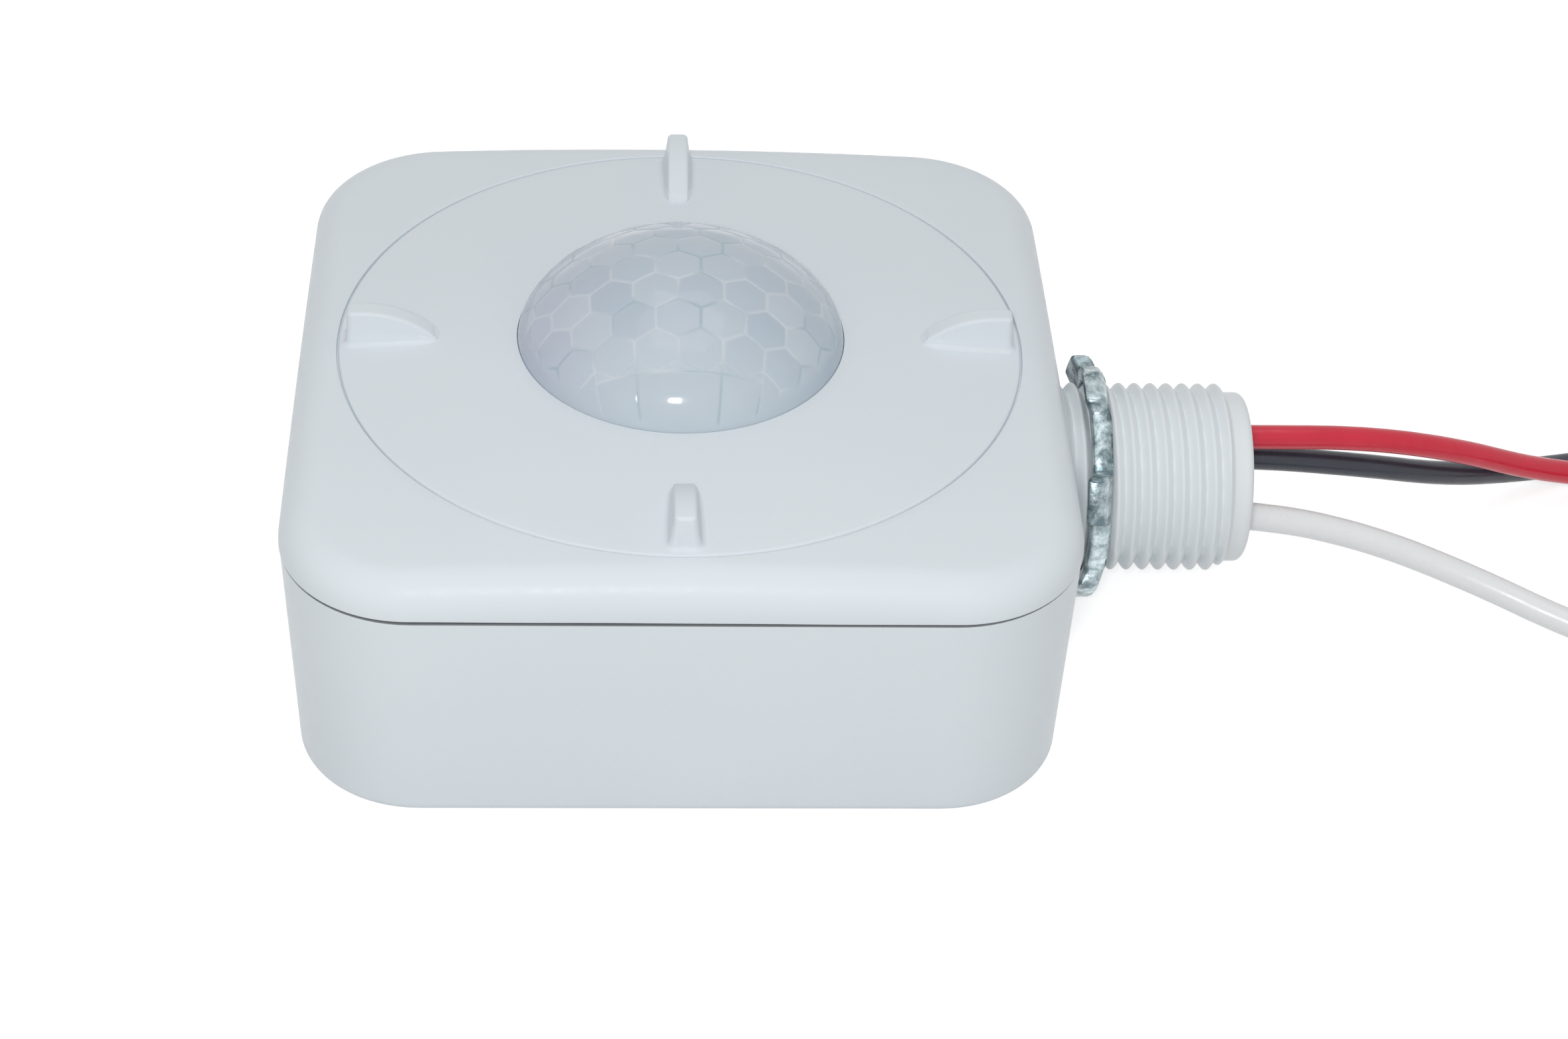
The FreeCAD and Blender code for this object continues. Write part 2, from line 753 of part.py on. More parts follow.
def lens_ring():
    ring = body("lens_ring")
    section = sketch_on(ring, "XZ", "section")
    mouth = "lens_rim_radius + lens_mouth_gap"
    seat = "lens_flange_top + lens_seat_gap"
    flange_side = "lens_flange_radius + lens_flange_gap"
    skirt_inner = "skirt_face - skirt_thickness"
    above = "crown_height + cut_overrun"
    points = [
        (mouth, above),
        (mouth, seat),
        (flange_side, seat),
        (flange_side, "ring_low"),
        (skirt_inner, "ring_low"),
        (skirt_inner, "lug_low"),
        ("skirt_face", "lug_low"),
        ("skirt_face", "ring_low"),
        ("ring_radius", "ring_low"),
        ("ring_radius", above),
    ]
    outline(section, points)
    revolve(ring, "plate", section)
    trim_to_crown(ring)

    lug = sketch_on(ring, "XY", "lug_plan", "lug_low")
    lug_tip = "opening_radius + lug_reach - ring_gap"
    sector(lug, "skirt_face - skirt_thickness / 2", lug_tip, "lug_centre_angle", "lug_width_angle")
    lugs = pad(ring, "lug", lug, "lug_thickness")
    around(ring, "lugs", [lugs], 4)

    stake = sketch_on(ring, "XY", "stake_plan", "ring_low - retainer_thickness - stake_head")
    circle(stake, "stake_radius", "stake_circle_radius", "0")
    stakes = pad(ring, "stake", stake, "retainer_thickness + stake_head + join_overlap")
    around(ring, "stakes", [stakes], 4)

    # grip fins: a steep back, a flat top and a long curve down to the plate
    plate = crown_at("fin_outer_radius")
    base, top = f"{plate} - fin_root", f"{plate} + fin_height"
    inner = "fin_outer_radius - fin_length"
    fin = sketch_on(ring, "XZ", "fin_side")
    points = [
        (inner, base),
        ("fin_outer_radius", base),
        ("fin_outer_radius - fin_back_slope", top),
        ("fin_outer_radius - fin_flat", top),
        (inner, f"{plate} + fin_toe"),
    ]
    outline(fin, points, {3: ("fin_curve_radius", 1)})
    fins = pad(ring, "fin", fin, "fin_width", Midplane=True)
    around(ring, "fins", [fins], 4)
    return keep(ring, "lens_ring")


def shoulder_start(radius):
    """Where a dome whose cap has a given radius passes from its cap to its shoulder."""
    share = f"{radius} / cap_reach"
    return f"shoulder_reach * {share}", f"lens_flange_top - cap_rise + cap_rise * {share}"


def dome_lens():
    """A cap that meets its upright rim in a tighter shoulder, with a flange round its foot."""
    lens = body("dome_lens")
    section = sketch_on(lens, "XZ", "section")
    inner = "lens_rim_radius - lens_thickness"
    points = [
        ("0", "dome_apex"),
        shoulder_start("dome_cap_radius"),
        ("lens_rim_radius", "lens_flange_top"),
        ("lens_flange_radius", "lens_flange_top"),
        ("lens_flange_radius", "ring_low"),
        (inner, "ring_low"),
        (inner, "lens_flange_top"),
        shoulder_start("(dome_cap_radius - lens_thickness)"),
        ("0", "dome_apex - lens_thickness"),
    ]
    arcs = {
        0: ("dome_cap_radius", -1),
        1: ("dome_shoulder_radius", -1),
        6: ("dome_shoulder_radius - lens_thickness", 1),
        7: ("dome_cap_radius - lens_thickness", 1),
    }
    outline(section, points, arcs)
    revolve(lens, "dome", section)
    return keep(lens, "dome_lens")


def lens_retainer():
    retainer = body("lens_retainer")
    plan = sketch_on(retainer, "XY", "plan", "ring_low - retainer_thickness")
    circle(plan, "retainer_radius")
    circle(plan, "retainer_inner_radius")
    pad(retainer, "ring", plan, "retainer_thickness")
    hole = sketch_on(retainer, "XY", "hole_plan", "ring_low")
    circle(hole, "stake_radius + stake_clearance", "stake_circle_radius", "0")
    holes = pocket(retainer, "stake_hole", hole, "retainer_thickness")
    around(retainer, "stake_holes", [holes], 4)
    return keep(retainer, "lens_retainer")


# ---------------------------------------------------------------- nipple and locknut


def conduit_nipple():
    """A threaded tube along its own Z axis, turned to lie along X, with a square flange inside."""
    nipple = body("conduit_nipple")
    crest, root, pitch = "thread_crest_radius", "thread_root_radius", "thread_pitch"
    bore_radius = "nipple_bore_radius"
    inside = f"{FLANGE_FACE} - flange_thickness / 2"
    neck = "box_width / 2 + thread_start"
    points = [(bore_radius, inside), (crest, inside), (crest, neck)]
    for turn in range(int(number("thread_count"))):
        at = f"{neck} + {turn} * {pitch}"
        points += [
            (root, f"{at} + {pitch} * thread_fall_end"),
            (root, f"{at} + {pitch} * thread_rise_start"),
            (crest, f"{at} + {pitch} * thread_rise_end"),
            (crest, f"{at} + {pitch}"),
        ]
    points += [
        (root, f"{neck} + (thread_count + thread_fall_end) * {pitch}"),
        (root, "nipple_end - nipple_chamfer"),
        (f"{root} - nipple_chamfer", "nipple_end"),
        (bore_radius, "nipple_end"),
    ]
    section = sketch_on(nipple, "XZ", "section")
    outline(section, points)
    revolve(nipple, "threaded_tube", section)

    flange = sketch_on(nipple, "XY", "flange_plan", f"{FLANGE_FACE} - flange_thickness")
    up, across = "flange_height / 2", "flange_width / 2"
    rectangle(flange, f"-{up}", f"-{across}", up, across)
    circle(flange, bore_radius)
    pad(nipple, "flange", flange, "flange_thickness")
    place(nipple, z="nipple_height", rotation=ALONG_X)
    return keep(nipple, "conduit_nipple")


def locknut():
    """A stamped nut round its own Z axis, with six lugs bent back towards the housing."""
    nut = body("locknut")
    bore_radius = "thread_crest_radius + nut_clearance"
    points = [
        (bore_radius, "nut_back + nut_dish"),
        ("nut_ring_radius", "nut_back"),
        ("nut_ring_radius", "nut_face - nut_edge"),
        ("nut_ring_radius - nut_edge", "nut_face"),
        (bore_radius, "nut_face"),
    ]
    section = sketch_on(nut, "XZ", "section")
    outline(section, points)
    revolve(nut, "ring", section)
    lug = sketch_on(nut, "XY", "lug_plan", "nut_back - nut_lug_bend")
    inner = "nut_ring_radius - nut_edge"
    sector(lug, inner, "nut_lug_radius", "nut_turn", "nut_lug_angle")
    lugs = pad(nut, "lug", lug, "nut_thickness + nut_lug_bend - nut_edge")
    around(nut, "lugs", [lugs], 6)
    place(nut, z="nipple_height", rotation=ALONG_X)
    return keep(nut, "locknut")


def strain_relief():
    """The plug that holds the three leads inside the nipple's bore."""
    near = "plug_far_end - plug_length"
    height = "nipple_height"
    plug = rod("strain_relief", "nipple_bore_radius", "plug_length", near, "0", height, ALONG_X)
    return keep(plug, "strain_relief")


# ---------------------------------------------------------------- circuit boards

CORNERS = [(sx, sy) for sx in ("", "-") for sy in ("", "-")]


def board(name, height):
    made = body(name)
    plan = sketch_on(made, "XY", "plan", height)
    rounded_square(plan, "board_width / 2", "board_corner_radius")
    four_circles(plan, "board_hole_radius", "post_spacing")
    pad(made, "laminate", plan, "board_thickness")
    return keep(made, name)


def board_screws(name, length, head_low, stem_low):
    """Four self-tapping screws, one at each corner post."""
    screws = []
    for index, (sx, sy) in enumerate(CORNERS, start=1):
        x, y = f"{sx}post_spacing / 2", f"{sy}post_spacing / 2"
        head = rod(
            f"{name}_head_{index}", "screw_head_radius", "screw_head_height", x, y, head_low
        )
        stem = rod(f"{name}_stem_{index}", "screw_radius", length, x, y, stem_low)
        screws.append(fuse(f"{name}_{index}", [head, stem]))
    return keep(group(name, screws), name)


def component(name, base):
    """A block-shaped component on a board, with its sizes and its place named after it."""
    sizes = [f"{name}_{size}" for size in ("length", "width", "height", "x", "y")]
    return block(f"{name}_block", *sizes, base)


def pyro_sensor():
    """The infrared sensor's metal can, and the filter window let into its top."""
    top = "sensor_board_top"
    can = rod("pyro_body", "pyro_radius", "pyro_height", "0", "0", top)
    rim = rod("pyro_rim", "pyro_radius + pyro_rim_width", "pyro_rim_height", "0", "0", top)
    size = ("pyro_window_length", "pyro_window_width")
    low = f"{top} + pyro_height - pyro_window_depth"
    seat = block("pyro_window_seat", *size, "cut_overrun", "0", "0", low)
    keep(cut("pyro_can", fuse("pyro_shell", [can, rim]), seat), "pyro_can")
    keep(block("pyro_window", *size, "pyro_window_depth", "0", "0", low), "pyro_window")


def light_parts():
    """The indicator lamp and the photocell that senses daylight."""
    top = "sensor_board_top"
    lamp = [
        rod("led_barrel", "led_radius", "led_height", "led_x", "led_y", top),
        rod("led_foot", "led_foot_radius", "led_foot_height", "led_x", "led_y", top),
    ]
    keep(fuse("indicator_led", lamp), "indicator_led")
    x, y = "photocell_x", "photocell_y"
    width, length = "photocell_leg_width", "photocell_leg_length"
    cell = [
        rod("photocell_disc", "photocell_radius", "photocell_thickness", x, y, "photocell_seat"),
        block("photocell_legs", "photocell_leg_spread", width, length, x, y, top),
    ]
    keep(fuse("photocell", cell), "photocell")


def dip_switch():
    """A four-way switch block, with one slot and one slider for each way."""
    case = component("dip_case", "sensor_board_top")
    slots = []
    for way in range(4):
        x = f"dip_case_x + ({way} - 1.5) * dip_pitch"
        low = "dip_top - dip_slot_depth"
        width, length = "dip_slot_width", "dip_slot_length"
        depth = "dip_slot_depth + cut_overrun"
        slots.append(block(f"dip_slot_{way + 1}", width, length, depth, x, "dip_case_y", low))
        knob = block(
            f"dip_slider_{way + 1}",
            "dip_knob_width",
            "dip_slot_length - dip_travel - 2 * dip_end_clearance",
            "dip_knob_height",
            x,
            "dip_case_y - dip_travel / 2",
            f"{low} + dip_knob_clearance",
        )
        keep(knob, f"dip_slider_{way + 1}")
    keep(cut("dip_switch_block", case, fuse("dip_slots", slots)), "dip_switch_block")


def trimmers():
    """Two trimmers, each a body with a round well and a slotted rotor in it."""
    cases = []
    y, base = "trimmer_y", "trimmer_well_base"
    for side in ("sensitivity", "time_delay"):
        x = f"{side}_x"
        size = ("trimmer_case_length", "trimmer_case_width", "trimmer_case_height")
        case = block(f"{side}_case", *size, x, y, "sensor_board_top")
        well_radius = "rotor_radius + rotor_clearance"
        well = rod(f"{side}_well", well_radius, "rotor_depth + cut_overrun", x, y, base)
        cases.append(cut(f"{side}_body", case, well))
        height = "rotor_depth + rotor_stand"
        disc = rod(f"{side}_disc", "rotor_radius", height, x, y, f"{base} + rotor_clearance")
        slot_low = f"{base} + rotor_clearance + {height} - rotor_slot_depth"
        slot = block(
            f"{side}_slot", "rotor_radius * 3", "rotor_slot_width", "cut_overrun", x, y, slot_low
        )
        keep(cut(f"{side}_rotor", disc, slot), f"{side}_rotor")
    keep(group("trimmer_bodies", cases), "trimmer_bodies")


def block_components():
    for name in ("relay", "film_capacitor", "bridge_rectifier"):
        keep(component(name, "power_board_top"), name)


def electrolytic_capacitor():
    x, y = "electrolytic_x", "electrolytic_y"
    radius, bead = "electrolytic_radius", "electrolytic_bead_height"
    can = rod("capacitor_can", radius, "electrolytic_height", x, y, "power_board_top")
    bead_low = f"power_board_top + {bead} / 2"
    ridge = rod("capacitor_bead", f"{radius} + electrolytic_bead", bead, x, y, bead_low)
    keep(fuse("electrolytic_capacitor", [can, ridge]), "electrolytic_capacitor")


def transformer():
    core = component("core", "power_board_top")
    low = "power_board_top + (core_height - winding_height) / 2"
    winding = rod("winding", "winding_radius", "winding_height", "core_x", "core_y", low)
    keep(fuse("transformer", [core, winding]), "transformer")


def varistor():
    x, y, top = "varistor_x", "varistor_y", "power_board_top"
    thickness, centre = "varistor_thickness", f"{top} + varistor_lift"
    near = f"{x} - {thickness} / 2"
    disc = rod("varistor_disc", "varistor_radius", thickness, near, y, centre, ALONG_X)
    width, spread = "varistor_leg_width", "varistor_leg_spread"
    legs = block("varistor_legs", width, spread, "varistor_leg_length", x, y, top)
    keep(fuse("varistor", [disc, legs]), "varistor")


def line_fuse():
    """A ceramic tube fuse with a metal cap and a foot at each end."""
    y, axis = "fuse_y", "power_board_top + fuse_lift"
    near = "fuse_x - fuse_length / 2"
    pieces = [rod("fuse_tube", "fuse_radius", "fuse_length", near, y, axis, ALONG_X)]
    for end, x in (("near", near), ("far", "fuse_x + fuse_length / 2 - fuse_cap_length")):
        radius, length = "fuse_cap_radius", "fuse_cap_length"
        pieces.append(rod(f"fuse_cap_{end}", radius, length, x, y, axis, ALONG_X))
        foot = ("fuse_foot_length", "fuse_foot_width", "fuse_foot_height")
        centre = f"{x} + fuse_cap_length / 2"
        pieces.append(block(f"fuse_foot_{end}", *foot, centre, y, "power_board_top"))
    keep(fuse("line_fuse", pieces), "line_fuse")


def board_connector():
    """A socket on the power board, and a strip of pins under the sensor board that enters it."""
    y, ways = "header_y", 6
    length, width = f"{ways} * header_pitch", "header_width"
    socket_size = (length, width, "socket_height")
    socket_block = block("socket_block", *socket_size, "header_x", y, "power_board_top")
    well_low = "power_board_top + socket_height - header_well_depth"
    pin_length = "sensor_board_height - header_pin_low"
    strip_low = f"sensor_board_height - {width}"
    wells = []
    pins = [block("pin_strip", length, width, width, "header_x", y, strip_low)]
    for way in range(ways):
        x = f"header_x + ({way} - ({ways} - 1) / 2) * header_pitch"
        well = ("header_well", "header_well", "header_well_depth + cut_overrun")
        wells.append(block(f"socket_well_{way}", *well, x, y, well_low))
        pin = ("header_pin", "header_pin", pin_length)
        pins.append(block(f"pin_{way}", *pin, x, y, "header_pin_low"))
    keep(cut("header_socket", socket_block, fuse("socket_wells", wells)), "header_socket")
    keep(fuse("header_pins", pins), "header_pins")


# ---------------------------------------------------------------- leads


# the share of the shorter run that an arc takes up on each side of its corner
ARC_SHARE = 0.45


def tube_path(points):
    """Straight runs joined by tangent arcs. Returns the wire and the arcs' radii."""
    points = [Vector(*p) for p in points]
    edges, radii = [], []
    here = points[0]
    for before, corner, after in zip(points, points[1:], points[2:]):
        arriving, leaving = corner - before, after - corner
        turn = arriving.getAngle(leaving)
        tangent = ARC_SHARE * min(arriving.Length, leaving.Length)
        radii.append(tangent / math.tan(turn / 2))
        start = corner - Vector(arriving).normalize() * tangent
        end = corner + Vector(leaving).normalize() * tangent
        inward = (start + end) * 0.5 - corner
        centre_distance = math.hypot(radii[-1], tangent)
        middle = corner + Vector(inward).normalize() * (centre_distance - radii[-1])
        edges.append(Part.LineSegment(here, start).toShape())
        edges.append(Part.Arc(start, middle, end).toShape())
        here = end
    edges.append(Part.LineSegment(here, points[-1]).toShape())
    return Part.Wire(edges), radii


def tube(label, points, radius):
    """A round tube along a path, checked against its section times its length."""
    path, radii = tube_path(points)
    start, ahead = Vector(*points[0]), Vector(*points[1]) - Vector(*points[0])
    section = Part.Wire([Part.Circle(start, ahead, radius).toShape()])
    shape = path.makePipeShell([section], True, True)
    expected = math.pi * radius**2 * path.Length
    print(
        f"{label}: length {path.Length:.1f}, radii {[round(r, 1) for r in radii]}, "
        f"volume {shape.Volume / expected:.4f} of its section times its length"
    )
    return feature_from(shape, label)


# Each lead's route from the plug's face, out of the nipple, down to the surface and on to its
# coil, as (x, y, z) chosen by hand. The last point is where the coil's outer turn begins.
ROUTES = {
    "red": [
        (50.0, 4.8, 15.9),
        (66.0, 4.8, 15.9),
        (79.0, 5.8, 15.2),
        (91.0, 8.4, 11.6),
        (102.0, 12.2, 5.8),
        (114.0, 15.8, 1.9),
        (130.0, 17.4, 1.8),
    ],
    "black": [
        (50.0, 5.9, 12.5),
        (66.0, 5.9, 12.3),
        (79.0, 6.4, 10.8),
        (91.0, 10.0, 6.6),
        (102.0, 16.0, 2.7),
        (113.0, 19.8, 1.5),
        (125.0, 20.5, 1.7),
        (138.0, 20.6, 1.8),
    ],
    "white": [
        (50.0, -2.6, 11.3),
        (66.0, -2.7, 10.7),
        (79.0, -3.4, 7.9),
        (91.0, -6.6, 4.5),
        (102.0, -12.4, 2.2),
        (114.0, -18.6, 1.8),
        (128.0, -21.3, 2.0),
    ],
}
# the way each coil turns, seen from above: 1 anticlockwise, -1 clockwise
COIL_WAYS = {"red": -1, "black": 1, "white": -1}
COIL_TURNS = 2
# the same leads inside the housing, from the plug's inner face down to the power board
TAILS = {
    "red": [(44.0, 4.8, 15.9), (35.0, 4.8, 15.9), (28.0, 8.4, 11.9), (25.0, 9.2, 6.9)],
    "black": [(44.0, 5.9, 12.5), (35.0, 5.9, 12.5), (28.0, 3.6, 10.0), (25.0, 3.0, 6.9)],
    "white": [(44.0, -2.6, 11.3), (35.0, -2.6, 11.3), (28.0, -3.8, 9.4), (25.0, -4.2, 7.0)],
}


def feature_from(shape, label):
    """A sub-part whose shape is made with Part's own functions."""
    made = doc.addObject("Part::Feature", label)
    made.Shape = shape
    return keep(made, label)


def coil(colour, radius):
    """A flat coil that winds inwards from the end of a lead's route, its tie and its bare end."""
    outer = number("coil_inner_turn") + COIL_TURNS * 2 * radius
    inner = number("coil_inner_turn")
    end, before = Vector(*ROUTES[colour][-1]), Vector(*ROUTES[colour][-2])
    way = COIL_WAYS[colour]
    heading = Vector(end.x - before.x, end.y - before.y, 0).normalize()
    toward = Vector(-heading.y, heading.x, 0) * way
    tie = number("tie_thickness")
    centre = Vector(end.x, end.y, 0) + toward * outer
    base = centre + Vector(0, 0, tie)
    ring = Part.makeCylinder(outer + radius, 2 * radius, base).cut(
        Part.makeCylinder(inner - radius, 2 * radius, base)
    )
    feature_from(ring, f"{colour}_coil")

    # The tie goes round the turns on the far side of the coil from the arriving lead.
    length = outer - inner + 2 * (radius + tie)
    width, height = number("tie_width"), 2 * (radius + tie)
    band = Part.makeBox(length, width, height, Vector(inner - radius - tie, -width / 2, 0))
    band.Placement = Placement(
        centre, Rotation(Vector(0, 0, 1), math.degrees(math.atan2(toward.y, toward.x)))
    )
    feature_from(band.cut(ring), f"{colour}_tie")

    # After whole turns the cut end lies beside its start, with the bare wire bent inwards.
    start = centre - toward * inner + Vector(0, 0, tie + radius)
    ahead = Rotation(Vector(0, 0, 1), way * number("bare_end_bend")).multVec(heading)
    bare = Part.makeCylinder(
        number("bare_end_radius"),
        number("bare_end_length"),
        start - ahead * number("bare_end_root"),
        ahead,
    )
    feature_from(bare, f"{colour}_bare_end")


def leads():
    for colour, route in ROUTES.items():
        radius = number("white_lead_radius" if colour == "white" else "lead_radius")
        tube(f"{colour}_lead", route, radius)
        coil(colour, radius)
        tube(f"{colour}_tail", TAILS[colour], radius)
    joints = []
    for colour, route in TAILS.items():
        x, y = route[-1][:2]
        size = ("solder_radius", "solder_height")
        joints.append(rod(f"{colour}_solder", *size, x, y, "power_board_top"))
    keep(group("solder_joints", joints), "solder_joints")


rear_housing()
front_cover()
lens_ring()
dome_lens()
lens_retainer()
conduit_nipple()
locknut()
strain_relief()
board("power_board", "power_board_height")
board("sensor_board", "sensor_board_height")
board_screws(
    "power_board_screws",
    "power_screw_length",
    "power_board_top",
    "power_board_top - power_screw_length",
)
board_screws(
    "sensor_board_screws",
    "sensor_screw_length",
    "sensor_board_height - screw_head_height",
    "sensor_board_height",
)
pyro_sensor()
light_parts()
dip_switch()
trimmers()
block_components()
electrolytic_capacitor()
transformer()
varistor()
line_fuse()
board_connector()
leads()
doc.recompute()

faults = [o.Name for o in doc.Objects if "Invalid" in o.State or "Error" in o.State]
faults += [p.Label for p in PIECES if p.Shape.isNull() or not p.Shape.isValid()]
if faults:
    raise RuntimeError(f"these did not build: {faults}")
os.makedirs("parts", exist_ok=True)
for piece in PIECES:
    piece.Shape.exportStep(f"parts/{piece.Label}.step")
print(f"{len(PIECES)} sub-parts")
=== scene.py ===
import math

import bmesh
import bpy
import numpy as np
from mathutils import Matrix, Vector


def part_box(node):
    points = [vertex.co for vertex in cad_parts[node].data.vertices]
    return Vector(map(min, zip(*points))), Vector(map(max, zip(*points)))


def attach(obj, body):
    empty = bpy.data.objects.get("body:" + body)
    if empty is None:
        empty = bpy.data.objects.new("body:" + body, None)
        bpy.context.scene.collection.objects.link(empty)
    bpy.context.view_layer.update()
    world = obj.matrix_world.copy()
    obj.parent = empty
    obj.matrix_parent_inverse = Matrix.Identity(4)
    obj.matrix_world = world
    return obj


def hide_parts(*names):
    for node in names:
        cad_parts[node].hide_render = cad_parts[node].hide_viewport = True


# Visual model of a ceiling motion sensor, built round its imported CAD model. Places are in
# metres, and MM turns a size in millimetres into metres.

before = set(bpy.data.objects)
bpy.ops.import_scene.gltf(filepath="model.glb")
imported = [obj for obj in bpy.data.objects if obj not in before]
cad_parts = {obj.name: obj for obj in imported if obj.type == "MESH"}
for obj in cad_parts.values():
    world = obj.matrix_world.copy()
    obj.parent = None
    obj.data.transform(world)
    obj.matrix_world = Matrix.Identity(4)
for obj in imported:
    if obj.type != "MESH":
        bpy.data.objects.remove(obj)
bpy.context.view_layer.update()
MM = 0.001


# ---------------------------------------------------------------- camera

CAMERA_PLACE = (-7.46 * MM, -301.82 * MM, 248.07 * MM)
CAMERA_TURN = (51.440, -2.087, -2.071)
CAMERA_LENS = 77.56
SENSOR_WIDTH = 36.0


def make_camera():
    """The camera that took the photo, as fitted to its outlines."""
    data = bpy.data.cameras.new("camera")
    data.lens = CAMERA_LENS
    data.sensor_width = SENSOR_WIDTH
    data.clip_start = 10 * MM
    data.clip_end = 20.0
    camera = bpy.data.objects.new("camera", data)
    camera.location = CAMERA_PLACE
    camera.rotation_euler = [math.radians(angle) for angle in CAMERA_TURN]
    bpy.context.scene.collection.objects.link(camera)
    bpy.context.scene.camera = camera


make_camera()


# ---------------------------------------------------------------- leads

# Each lead's route from the plug inside the nipple to the start of its coil, in metres.
ROUTES = {
    "red": [
        (0.0500, 0.0048, 0.0159),
        (0.0660, 0.0048, 0.0159),
        (0.0790, 0.0058, 0.0152),
        (0.0910, 0.0084, 0.0116),
        (0.1020, 0.0122, 0.0058),
        (0.1140, 0.0158, 0.0019),
        (0.1300, 0.0174, 0.0018),
    ],
    "black": [
        (0.0500, 0.0059, 0.0125),
        (0.0660, 0.0059, 0.0123),
        (0.0790, 0.0064, 0.0108),
        (0.0910, 0.0100, 0.0066),
        (0.1020, 0.0160, 0.0027),
        (0.1130, 0.0198, 0.0015),
        (0.1250, 0.0205, 0.0017),
        (0.1380, 0.0206, 0.0018),
    ],
    "white": [
        (0.0500, -0.0026, 0.0113),
        (0.0660, -0.0027, 0.0107),
        (0.0790, -0.0034, 0.0079),
        (0.0910, -0.0066, 0.0045),
        (0.1020, -0.0124, 0.0022),
        (0.1140, -0.0186, 0.0018),
        (0.1280, -0.0213, 0.0020),
    ],
}
LEAD_RADIUS = {"red": 1.4 * MM, "black": 1.4 * MM, "white": 1.6 * MM}
# the way each coil turns, seen from above: 1 anticlockwise, -1 clockwise
COIL_WAY = {"red": -1, "black": 1, "white": -1}
COIL_TURNS = 2
COIL_POINTS = 16
COIL_INNER_TURN = 11.8 * MM
TIE_THICKNESS = 0.4 * MM


def coil_points(colour):
    """The points of a flat coil that winds inwards from the end of a lead's route."""
    radius = LEAD_RADIUS[colour]
    way = COIL_WAY[colour]
    end, before = Vector(ROUTES[colour][-1]), Vector(ROUTES[colour][-2])
    heading = Vector((end.x - before.x, end.y - before.y, 0)).normalized()
    toward = Vector((-heading.y, heading.x, 0)) * way
    outer = COIL_INNER_TURN + COIL_TURNS * 2 * radius
    centre = Vector((end.x, end.y, TIE_THICKNESS + radius)) + toward * outer
    points = []
    for step in range(1, COIL_TURNS * COIL_POINTS + 1):
        turned = step / COIL_POINTS
        spoke = -toward * math.cos(turned * math.tau) + heading * math.sin(turned * math.tau)
        points.append(tuple(centre + spoke * (outer - turned * 2 * radius)))
    return points


def make_lead(colour):
    """One lead as a smooth curve along its route and its coil."""
    data = bpy.data.curves.new(f"{colour}_wire", "CURVE")
    data.dimensions = "3D"
    # the points' own radius gives the lead's, so that the curve's box is its true one
    data.bevel_depth = 1.0
    data.bevel_resolution = 8
    data.resolution_u = 12
    data.use_fill_caps = True
    points = ROUTES[colour] + coil_points(colour)
    spline = data.splines.new("NURBS")
    spline.points.add(len(points) - 1)
    for point, place in zip(spline.points, points):
        point.co = (*place, 1.0)
        point.radius = LEAD_RADIUS[colour]
    spline.order_u = 3
    spline.use_endpoint_u = True
    lead = bpy.data.objects.new(f"{colour}_wire", data)
    bpy.context.scene.collection.objects.link(lead)
    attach(lead, "housing")
    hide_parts(f"{colour}_lead", f"{colour}_coil")
    return lead


leads = {colour: make_lead(colour) for colour in ROUTES}


# ---------------------------------------------------------------- node trees


